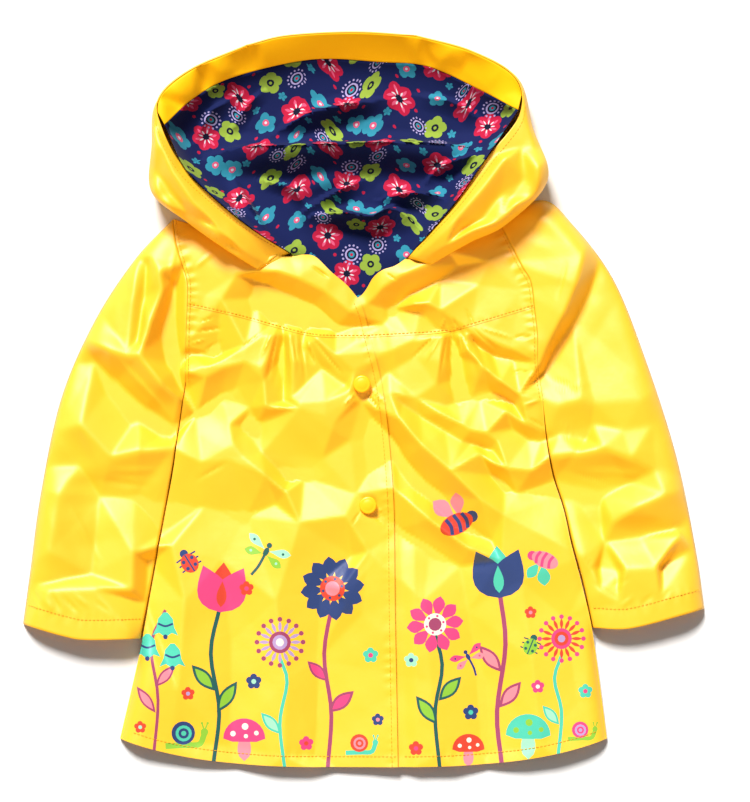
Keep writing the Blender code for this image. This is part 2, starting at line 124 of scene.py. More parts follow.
def noise(tree: bpy.types.NodeTree, scale: float, detail: float) -> bpy.types.Node:
    """A noise over the object's own coordinates.

    Args:
        tree: Nodes of the material that it goes in.
        scale: Its waves in a metre.
        detail: Its octaves.

    Returns:
        The noise's node.
    """
    place = tree.nodes.new("ShaderNodeTexCoord")
    texture = tree.nodes.new("ShaderNodeTexNoise")
    texture.inputs["Scale"].default_value = scale
    texture.inputs["Detail"].default_value = detail
    tree.links.new(place.outputs["Object"], texture.inputs["Vector"])
    return texture


@dataclass(frozen=True)
class Finish:
    """How one cloth or its ink looks.

    Attributes:
        name: Name of the material.
        color: Linear colour.
        roughness: Roughness of the coated or woven face.
        gloss: Strength of its reflection.
        sheen: Weight of the soft sheen of its nap.
        grain: Height of the fine crinkle, in metres.
        shade: How far the colour wanders, as a share.
    """

    name: str
    color: tuple[float, float, float, float]
    roughness: float = 0.42
    gloss: float = 0.5
    sheen: float = 0.0
    grain: float = 0.00022
    shade: float = 0.05

    def material(self) -> bpy.types.Material:
        """The material, made once.

        Returns:
            Material with this finish.
        """
        found = bpy.data.materials.get(self.name)
        if found is not None:
            return found
        made = bpy.data.materials.new(self.name)
        made.use_nodes = True
        made.diffuse_color = self.color
        nodes, links = made.node_tree.nodes, made.node_tree.links
        shader = nodes["Principled BSDF"]
        shader.inputs["Base Color"].default_value = self.color
        shader.inputs["Roughness"].default_value = self.roughness
        shader.inputs["Specular IOR Level"].default_value = self.gloss
        shader.inputs["Sheen Weight"].default_value = self.sheen
        shader.inputs["Sheen Roughness"].default_value = 0.4
        crinkle = noise(made.node_tree, scale=95.0, detail=4.0)
        crinkle.inputs["Roughness"].default_value = 0.55
        bump = nodes.new("ShaderNodeBump")
        bump.inputs["Strength"].default_value = 1.0
        bump.inputs["Distance"].default_value = self.grain
        links.new(crinkle.outputs["Fac"], bump.inputs["Height"])
        links.new(bump.outputs["Normal"], shader.inputs["Normal"])
        tone = nodes.new("ShaderNodeMix")
        tone.data_type = "RGBA"
        dark = [c * (1 - self.shade) for c in self.color[:3]]
        light = [min(c * (1 + self.shade), 1.0) for c in self.color[:3]]
        tone.inputs["A"].default_value = (*dark, 1.0)
        tone.inputs["B"].default_value = (*light, 1.0)
        links.new(noise(made.node_tree, scale=14.0, detail=3.0).outputs["Fac"], tone.inputs["Factor"])
        links.new(tone.outputs["Result"], shader.inputs["Base Color"])
        return made


YELLOW = Finish("yellow coated cloth", (0.97, 0.52, 0.01, 1.0), roughness=0.52, gloss=0.95)
# The turned-in edge is the coat's own yellow cloth. Its more orange colour is painted shade of the hood's
# shaded inside, and its weak gloss holds back reflection there.
FACING_PAINTED_SHADE = Finish("yellow facing with painted shade", (0.98, 0.5, 0.003, 1.0), roughness=0.6, gloss=0.15)
THREAD = Finish("yellow thread", (0.87, 0.42, 0.006, 1.0), roughness=0.6, grain=0.00005)
SNAP_CAP = Finish("snap cap", (0.95, 0.53, 0.008, 1.0), roughness=0.33, grain=0.00004, shade=0.02)


def ink(name: str, red: int, green: int, blue: int) -> Finish:
    """Ink on the coated hem.

    Args:
        name: Name of the colour.
        red, green, blue: Display colour, from 0 to 255.

    Returns:
        Finish of the inked cloth.
    """
    return Finish(f"hem ink {name}", linear(red, green, blue), roughness=0.5)


def cotton(name: str, red: int, green: int, blue: int) -> Finish:
    """Soft cotton of the lining.

    Args:
        name: Name of the material.
        red, green, blue: Display colour, from 0 to 255.

    Returns:
        Finish of the dyed cloth.
    """
    return Finish(name, linear(red, green, blue), roughness=0.85, gloss=0.2, sheen=0.06, grain=0.00018)


NAVY_CLOTH = cotton("lining cloth", 14, 26, 78)


class Ink(Enum):
    """Colours of the hem print."""

    PINK = ink("pink", 226, 62, 126)
    ROSE = ink("rose", 240, 130, 150)
    NAVY = ink("navy", 34, 58, 118)
    AQUA = ink("aqua", 70, 190, 170)
    MINT = ink("mint", 150, 215, 190)
    LIME = ink("lime", 130, 185, 55)
    RED = ink("red", 205, 62, 42)
    PURPLE = ink("purple", 150, 62, 104)
    TEAL = ink("teal", 22, 84, 84)
    LILAC = ink("lilac", 170, 145, 200)
    WHITE = ink("white", 232, 228, 220)


class Dye(Enum):
    """Colours of the lining print."""

    CRIMSON = cotton("lining dye crimson", 180, 22, 60)
    ROSE = cotton("lining dye rose", 214, 86, 122)
    LIME = cotton("lining dye lime", 140, 166, 60)
    AQUA = cotton("lining dye aqua", 44, 134, 158)
    LILAC = cotton("lining dye lilac", 168, 156, 204)
    WHITE = cotton("lining dye white", 214, 208, 216)
    INKY = cotton("lining dye inky", 10, 14, 42)


# ---------------------------------------------------------------------------------------------
# Curves and heights
# ---------------------------------------------------------------------------------------------


def spline(points: Points, count: int) -> np.ndarray:
    """Even points along a smooth curve through the given ones.

    Args:
        points: Points to pass through, of two or more coordinates.
        count: Number of points to return.

    Returns:
        Array of count points.
    """
    pts = np.array(points, float)
    ends = np.vstack([2 * pts[0] - pts[1], pts, 2 * pts[-1] - pts[-2]])
    t = np.linspace(0, 1, 24, endpoint=False)[:, None]
    bends = []
    for a, b, c, d in zip(ends, ends[1:], ends[2:], ends[3:]):
        square, cube = 2 * a - 5 * b + 4 * c - d, 3 * b - a - 3 * c + d
        bends.append(0.5 * (2 * b + (c - a) * t + square * t**2 + cube * t**3))
    fine = np.vstack([*bends, pts[-1:]])
    run = np.concatenate([[0], np.cumsum(np.linalg.norm(np.diff(fine, axis=0), axis=1))])
    at = np.linspace(0, run[-1], count)
    return np.column_stack([np.interp(at, run, fine[:, k]) for k in range(pts.shape[1])])


def joined(first: np.ndarray, second: np.ndarray) -> np.ndarray:
    """Two curves as one, with their common point once.

    Args:
        first: Curve that ends where the second starts.
        second: Curve that follows.

    Returns:
        The joined curve.
    """
    return np.vstack([first, second[1:]])


def between(top: np.ndarray, bottom: np.ndarray, left: np.ndarray, right: np.ndarray) -> np.ndarray:
    """Grid of points that fills the space between four edge curves.

    Args:
        top, bottom: Curves with one point a column.
        left, right: Curves with one point a row.

    Returns:
        Grid of rows and columns of points.
    """
    u = np.linspace(0, 1, len(top))[None, :, None]
    v = np.linspace(0, 1, len(left))[:, None, None]
    level = (1 - v) * top[None] + v * bottom[None]
    upright = (1 - u) * left[:, None] + u * right[:, None]
    corners = (1 - v) * ((1 - u) * top[0] + u * top[-1]) + v * ((1 - u) * bottom[0] + u * bottom[-1])
    return level + upright - corners


def drawn_in(grid: np.ndarray, inset: float = GAP / 2) -> np.ndarray:
    """The grid with its outer rows moved in.

    Args:
        grid: Grid of points.
        inset: How far its outline moves in.

    Returns:
        The smaller grid.
    """
    out = grid.copy()
    for axis in (0, 1):
        for edge, inner in ((0, 1), (-1, -2)):
            step = np.take(grid, inner, axis) - np.take(grid, edge, axis)
            step *= inset / np.linalg.norm(step, axis=-1, keepdims=True)
            target = out[edge] if axis == 0 else out[:, edge]
            target += step
    return out


def distance(x: np.ndarray, y: np.ndarray, curve: np.ndarray) -> tuple[np.ndarray, np.ndarray]:
    """How far points are from a curve.

    Args:
        x, y: Coordinates of the points.
        curve: Points of the curve.

    Returns:
        Distance of each point, and the place along the curve that is nearest to it.
    """
    best = np.full(np.shape(x), np.inf)
    place = np.zeros(np.shape(x))
    for i, (a, b) in enumerate(zip(curve[:-1], curve[1:])):
        dx, dy = b[0] - a[0], b[1] - a[1]
        t = np.clip(((x - a[0]) * dx + (y - a[1]) * dy) / (dx * dx + dy * dy), 0, 1)
        d = np.hypot(x - a[0] - t * dx, y - a[1] - t * dy)
        place = np.where(d < best, i + t, place)
        best = np.minimum(d, best)
    return best, place


def smooth(t: np.ndarray) -> np.ndarray:
    """Ease from 0 to 1.

    Args:
        t: Share of the way.

    Returns:
        Eased share.
    """
    t = np.clip(t, 0, 1)
    return t * t * (3 - 2 * t)


def ramp(at: np.ndarray, start: float, end: float) -> np.ndarray:
    """Ease from 0 at one place to 1 at another.

    Args:
        at: Places.
        start, end: Where the ease starts and ends, in either order.

    Returns:
        Eased share at each place.
    """
    return smooth((at - start) / (end - start))


def folds(x: np.ndarray, y: np.ndarray, table: Rows, crisp: bool = False) -> np.ndarray:
    """Height that a table of folds adds.

    Args:
        x, y: Coordinates of the points.
        table: Rows of from x, from y, to x, to y, lift and half width.
        crisp: Whether the folds come to a crease along their middle.

    Returns:
        Height at each point.
    """
    total = np.zeros(np.shape(x))
    for ax, ay, bx, by, lift, half in table:
        near = (x > min(ax, bx) - half) & (x < max(ax, bx) + half)
        near &= (y > min(ay, by) - half) & (y < max(ay, by) + half)
        if not near.any():
            continue
        px, py = x[near], y[near]
        dx, dy = bx - ax, by - ay
        t = np.clip(((px - ax) * dx + (py - ay) * dy) / (dx * dx + dy * dy), 0, 1)
        across = np.hypot(px - ax - t * dx, py - ay - t * dy) / half
        if crisp:
            total[near] += lift * np.sin(math.pi * (0.04 + 0.92 * t)) * np.clip(1 - across, 0, None) ** 2
        else:
            total[near] += lift * (0.35 + 0.65 * np.sin(math.pi * t)) * np.clip(1 - across**2, 0, None) ** 2
    return total


PHOTO_MIDDLE = (363.5, 400.0)  # pixel of the photo that lies on the origin
PHOTO_STEP = 0.84  # millimetres in a pixel


def placed(points: Points) -> np.ndarray:
    """Places on the photo as places on the floor.

    Args:
        points: Rows that start with across and down, in the photo's pixels.

    Returns:
        X and y of each, in millimetres.
    """
    rows = np.array([point[:2] for point in points], float)
    return (rows - PHOTO_MIDDLE) * (PHOTO_STEP, -PHOTO_STEP)


def lips(x: np.ndarray, y: np.ndarray, table: Iterable[tuple[Points, float, float, float]]) -> np.ndarray:
    """Height that the edges of folds add.

    Args:
        x, y: Coordinates of the points.
        table: Rows of places along the edge, lift, and width on the crown's and on the neck's side.

    Returns:
        Height at each point.
    """
    total = np.zeros(np.shape(x))
    for points, lift, sudden, slow in table:
        curve = spline(placed(points), 20)
        d, place = distance(x, y, curve)
        at = np.clip(place.astype(int), 0, len(curve) - 2)
        along = curve[at + 1] - curve[at]
        crownward = along[..., 0] * (y - curve[at, 1]) - along[..., 1] * (x - curve[at, 0]) > 0
        wide = np.where(crownward, sudden, slow)
        fade = np.sin(math.pi * (0.06 + 0.88 * place / (len(curve) - 1)))
        total = total + lift * fade * np.clip(1 - d / wide, 0, None) ** np.where(crownward, 1.6, 1.4)
    return total


def puckers(x: np.ndarray, y: np.ndarray, table: Iterable[SewnLine]) -> np.ndarray:
    """Small even dimples along sewn lines.

    Args:
        x, y: Coordinates of the points.
        table: Rows of the sewn line, depth, pitch and half width.

    Returns:
        Height at each point.
    """
    total = np.zeros(np.shape(x))
    for curve, depth, pitch, half in table:
        low, high = curve.min(0) - 2.5 * half, curve.max(0) + 2.5 * half
        near = (x > low[0]) & (x < high[0]) & (y > low[1]) & (y < high[1])
        if not near.any():
            continue
        d, place = distance(x[near], y[near], curve)
        step = np.linalg.norm(np.diff(curve, axis=0), axis=1).mean()
        run = place * step
        uneven = 0.7 + 0.5 * np.sin(run / 19.0)
        wave = np.sin(2 * math.pi * run / pitch + 2.6 * np.sin(run / 11.0)) * uneven - 0.6
        total[near] += depth * wave * np.exp(-((d / half) ** 2))
    return total


# Slow waves of loose cloth: height, turns across and up in radians a millimetre, and start
RIPPLES = (
    (0.34, 0.071, 0.043, 0.6),
    (0.30, 0.052, -0.083, 2.1),
    (0.20, 0.139, 0.061, 4.0),
    (0.17, -0.097, 0.151, 1.3),
    (0.10, 0.231, 0.187, 5.2),
)


def ripple(x: np.ndarray, y: np.ndarray) -> np.ndarray:
    """Slow unevenness of cloth that lies loose.

    Args:
        x, y: Coordinates of the points.

    Returns:
        Height at each point.
    """
    return sum(height * np.sin(across * x + up * y + start) for height, across, up, start in RIPPLES)


# ---------------------------------------------------------------------------------------------
# The coat's lines: the CAD's, with side seams, sleeves' inner edges and cuffs moved until they meet
# ---------------------------------------------------------------------------------------------

ARMHOLE_UPPER = {
    "left": ((-160, 152), (-157, 132), (-152, 114), (-147.5, 98), (-147.5, 79)),
    "right": ((112, 152), (120, 137), (132, 113), (140, 99), (143, 77.5)),
}
ARMHOLE_LOWER = {
    "left": ((-147.5, 79), (-148.5, 60), (-149, 38), (-149, 14)),
    "right": ((143, 77.5), (145.5, 55), (146, 30), (150, 2)),
}
YOKE_SEAM = {
    "left": ((-147.5, 79), (-103, 69), (-71, 60), (-39, 53), (6, 52)),
    "right": ((143, 77.5), (105, 66), (71, 57), (36, 54), (-26, 51)),
}
YOKE_TOP = {
    "left": ((-160, 152), (-112, 137), (-82, 122), (-60, 120.5), (-50, 122), (-40, 120), (-27, 107.5),
             (-14, 96.5), (-3.6, 84)),
    "right": ((112, 152), (76, 134), (56, 124), (40, 121), (26.5, 112.6), (16, 109), (8, 102.5),
              (-3, 87), (-30, 72)),
}
SIDE_SEAM = {
    "left": ((-149, 14), (-155, -26), (-159.5, -58), (-166, -92), (-171.5, -122), (-179, -163), (-188, -212),
             (-204.5, -284)),
    "right": ((150, 2), (153, -30), (158, -60), (168, -92), (174.5, -122), (184, -158), (193.5, -202),
              (204.5, -284)),
}
FRONT_EDGE = {
    "left": ((6, 52), (17, 4), (25, -80), (26.6, -180), (29, -308)),
    "right": ((-26, 51), (-15, 2), (-7, -82), (-5.4, -182), (-3, -308)),
}
YOKE_EDGE = {
    "left": ((-3.6, 84), (1, 72), (6, 52)),
    "right": ((-30, 72), (-29, 62), (-26, 51)),
}
SHOULDERS = ((-160, 152), (-112, 140), (-70, 133), (-24, 130), (30, 132), (72, 139), (112, 152))
SLEEVE_OUTER = {
    "left": ((-160, 152), (-192, 118), (-226, 66), (-254, 1), (-271, -78), (-280, -144), (-286, -188)),
    "right": ((112, 152), (150, 168), (176, 147), (210, 101), (237, 34), (262.5, -46), (279, -125),
              (286.3, -175)),
}
SLEEVE_INNER = {
    "left": ((-149, 14), (-155, -26), (-159.5, -58), (-166, -92), (-171.5, -122), (-178.7, -161),
             (-186, -200)),
    "right": ((150, 2), (153, -30), (158, -60), (168, -92), (174.7, -122), (183.8, -156), (191.6, -191)),
}
CUFF = {
    "left": ((-286, -188), (-251, -198), (-231, -201), (-186, -200)),
    "right": ((286.3, -175), (265, -181), (223, -191.5), (191.6, -191)),
}
FRONT_FOLDS = (
    (-66, 56, -64, 0, -4.0, 9),
    (-58, 56, -56, 10, 3.0, 8),
    (-52, 54, -11, 14, 3.5, 9),
    (-140, 2, -72, 46, -4.0, 16),
    (-104, -29, -66, -67, 4.0, 18),
    (-140, -8, -95, -34, -3.5, 18),
    (-66, -25, -32, -63, -4.0, 16),
    (4, -127, -19, -158, -2.5, 9),
    (-118, -180, -128, -296, 3.0, 26),
    (-62, -190, -66, -300, -1.5, 24),
    (77, 54, 78, 0, -4.5, 8),
    (89, 56, 131, 32, 3.0, 9),
    (88, 14, 130, -2, -3.0, 9),
    (34, -12, 94, -122, -4.0, 16),
    (52, -4, 108, -86, 4.0, 18),
    (40, -102, 92, -134, -3.5, 13),
    (96, -52, 142, -76, -3.0, 12),
    (100, -170, 112, -290, -1.5, 26),
    (150, -180, 168, -280, 2.5, 22),
)
SLEEVE_FOLDS = (
    (-234, 50, -189, 37, 5.0, 12),
    (-189, 37, -156, 4, 4.0, 11),
    (-234, 42, -163, -31, -6.0, 15),
    (-178, 105, -164, 40, -5.0, 13),
    (-196, 116, -197, 42, -4.0, 13),
    (-262, -10, -224, -50, -4.0, 15),
    (-264, -62, -222, -58, 4.0, 12),
    (-250, -84, -168, -52, -5.0, 17),
    (-258, -108, -182, -96, 4.0, 19),
    (-262, -84, -230, -144, -3.0, 10),
    (-272, -134, -230, -150, -3.0, 12),
    (198, 120, 163, 58, -6.0, 14),
    (163, 58, 152, 28, -4.5, 12),
    (208, 100, 172, 40, 4.0, 14),
    (136, 145, 162, 134, -4.0, 12),
    (160, -10, 190, -30, -4.0, 16),
    (166, -60, 243, -60, -6.0, 17),
    (175, -90, 235, -88, 5.0, 18),
    (207, -105, 266, -107, -4.0, 11),
    (200, -122, 265, -116, 3.0, 11),
    (245, -140, 276, -124, -3.0, 12),
)
LINING_ROLLS = (
    (-118, 204, -10, 208, 16.0, 21),
    (-10, 208, 98, 204, 16.0, 21),
    (-62, 231, 14, 252, 8.0, 15),
    (-56, 176, -12, 192, 6.0, 12),
    (-42, 156, 30, 150, 9.0, 13),
    (20, 173, 62, 168, 8.0, 12),
)
# Sections of the hood from the neck to the crown: rim, outermost fold, and seam to the centre piece
HOOD_SECTIONS = {
    "left": (
        (-62, 123, 20, -88, 109, 18, -72, 121),
        (-91, 141, 39, -114, 125, 21, -78, 130),
        (-120, 164, 47, -148, 149, 18, -78, 138),
        (-149, 193, 49, -177, 174, 15, -78, 156),
        (-167, 225, 46, -176, 213, 18, -79, 186),
        (-171, 252, 42, -173, 247, 20, -82, 218),
        (-145, 276, 38, -147, 274, 18, -86, 246),
        (-97, 297, 34, -98, 295, 16, -90, 270),
    ),
    "right": (
        (37, 119, 20, 56, 113, 18, 50, 125),
        (55, 139, 37, 88, 131, 20, 60, 134),
        (78, 166, 45, 120, 147, 17, 60, 140),
        (103, 202, 46, 154, 184, 15, 60, 156),
        (130, 238, 42, 141, 227, 18, 57, 190),
        (127, 270, 38, 129, 268, 18, 53, 228),
        (90, 292, 35, 91, 290, 16, 49, 258),
        (43, 305, 33, 44, 303, 16, 42, 280),
    ),
}
CROWN = ((-97, 297, 34), (-64, 305, 33), (-8, 308, 33), (43, 305, 33))
NECK_LINE = ((-58, 123), (-12, 125), (36, 124))
FACING_INNER = ((-165.6, 229, 42), (-142, 252, 25), (-109, 270, 18), (-44, 285, 14), (15, 283, 13),
                (55, 279, 14), (98, 259, 19), (129, 241.5, 38))
LINING_LEFT = ((-166.6, 225.5, 41), (-148.6, 193.25, 44), (-119.7, 164.3, 42), (-90.75, 141.35, 33),
               (-61.7, 123.4, 14.5))
LINING_RIGHT = ((129.8, 238, 37), (102.7, 202.25, 41), (77.7, 166.25, 40), (54.7, 139.25, 31),
                (36.7, 119.3, 14.5))
LINING_HEM = ((-61, 123.6), (-36, 118), (-10, 117), (14, 117), (36, 120))
NECK_HEM = ((-44, 84), (-24, 72), (-10, 70), (4, 72), (24, 86))
BUTTONS = {"button_upper": (-1.3, 13.4), "button_lower": (3.8, -88.2)}
HEM_CORNER, HEM_SAG, HEM_HALF = -284.0, 24.0, 204.5  # y of its ends, its sag and half its width
NECK_BULGES = ((-76.0, 114.0), (50.0, 114.0))
NECK_MIDDLE, NECK_SPAN = -12.0, (44.0, 58.0)  # its x, and how far from it the body starts to carry the hood

# What the photo adds to the CAD's folds. Gathered stretches of the yoke seams: x, y and lean
GATHERS = ((-62, 58, -0.18), (82, 60, 0.22))
# Sharp small creases, placed on the photo: from across, from down, to across, to down, in its
# pixels, then lift and half width in millimetres
WRINKLES = (
    (272, 333, 262, 356, 1.6, 3.2), (278, 331, 268, 378, -2.2, 3.4), (284, 333, 284, 392, -2.6, 3.4),
    (289, 333, 290, 380, 2.0, 3.2), (294, 333, 297, 362, -1.8, 2.6), (300, 334, 306, 380, -1.6, 3.0),
    (305, 335, 318, 368, 1.4, 3.0), (311, 336, 342, 374, -1.6, 3.2), (264, 331, 240, 350, -1.2, 3.2),
    (447, 334, 440, 376, -1.4, 3.0), (452, 334, 456, 384, -2.8, 3.4), (457, 332, 462, 356, 1.8, 2.8),
    (461, 331, 468, 348, -2.0, 2.8), (467, 330, 480, 352, -2.2, 3.2), (472, 329, 500, 352, -1.8, 3.6),
    (442, 335, 425, 362, 1.2, 3.0), (436, 335, 412, 358, -1.2, 3.0), (480, 328, 512, 338, 1.2, 3.0),
    (289, 307, 281, 319, -1.6, 2.6), (272, 312, 268, 321, -1.0, 2.4), (298, 312, 300, 330, -1.0, 2.6),
    (453, 318, 457, 329, -1.3, 2.6), (466, 309, 474, 326, -1.2, 2.6), (445, 318, 440, 331, 1.0, 2.6),
    (366, 392, 379, 410, -1.8, 2.6), (371, 389, 385, 403, 1.4, 2.6), (356, 393, 344, 405, 1.6, 2.6),
    (372, 512, 383, 524, -1.6, 2.6), (376, 508, 388, 515, 1.2, 2.4), (360, 512, 352, 524, -1.2, 2.6),
    (583, 554, 600, 577, -1.8, 3.0), (593, 582, 617, 599, -1.6, 3.0), (612, 585, 628, 578, -1.2, 3.0),
    (34, 590, 44, 606, -1.6, 3.0), (52, 592, 62, 610, -1.8, 3.0), (64, 596, 80, 612, -1.8, 3.0),
    (76, 594, 90, 606, 1.4, 3.0), (46, 598, 56, 612, 1.4, 3.0), (96, 600, 112, 612, -1.0, 3.0),
    (640, 604, 652, 594, -1.2, 3.0), (660, 600, 670, 588, -1.2, 3.0), (620, 606, 632, 596, 1.2, 3.0),
    (205, 350, 222, 342, -1.4, 3.4), (196, 332, 222, 328, -1.8, 3.6), (190, 344, 206, 340, 1.4, 3.0),
    (200, 322, 214, 318, -1.2, 2.8), (512, 372, 530, 372, -1.4, 3.0), (514, 338, 534, 336, -2.0, 3.6),
    (520, 408, 540, 400, 1.6, 3.4), (528, 418, 545, 428, -1.6, 3.0), (556, 300, 566, 262, -1.4, 3.6),
    (196, 268, 214, 252, 1.4, 3.6), (228, 462, 196, 480, -1.0, 5.0), (176, 250, 168, 290, 1.4, 4.0),
    (120, 360, 168, 412, 1.6, 3.6), (108, 470, 160, 470, 1.2, 5.0), (100, 480, 150, 486, -1.4, 5.0),
    (70, 505, 100, 560, 1.2, 4.5), (585, 470, 640, 474, 1.4, 4.0), (560, 468, 620, 486, -1.4, 4.0),
    (548, 380, 580, 392, -1.4, 4.0), (552, 392, 590, 384, 1.2, 4.0), (560, 420, 575, 440, 1.2, 4.0),
    (313, 267, 329, 278, -2.6, 2.4), (387, 274, 396, 281, -1.6, 2.0),
)
# Edges of folds in the lining, each a sudden lip on the crown's side that falls away toward the
# neck: places along it in the photo's pixels, its lift, and its width on both sides
LIPS = (
    (((208, 158), (232, 149), (262, 147), (300, 146), (350, 144), (410, 143), (455, 146), (494, 154)),
     15.0, 3.6, 24.0),
    (((262, 142), (288, 126), (314, 112), (349, 105), (384, 100)), 10.0, 4.0, 15.0),
    (((312, 216), (345, 213), (372, 216), (388, 209), (404, 214), (422, 232)), 13.0, 3.4, 18.0),
    (((304, 212), (333, 194), (364, 180)), 9.0, 3.4, 12.0),
    (((384, 198), (408, 194), (434, 195), (450, 205)), 9.0, 3.4, 12.0),
    (((422, 188), (440, 168), (472, 157), (494, 158)), 7.0, 3.4, 11.0),
    (((234, 180), (250, 205), (270, 238)), 9.0, 3.4, 12.0),
    (((196, 140), (212, 112), (236, 96)), 5.5, 4.0, 12.0),
    (((262, 180), (290, 188), (306, 206)), 7.0, 3.4, 10.0),
    (((420, 96), (456, 104), (484, 124)), 5.5, 4.0, 13.0),
    (((232, 130), (246, 108), (262, 92)), 6.0, 3.4, 10.0),
)
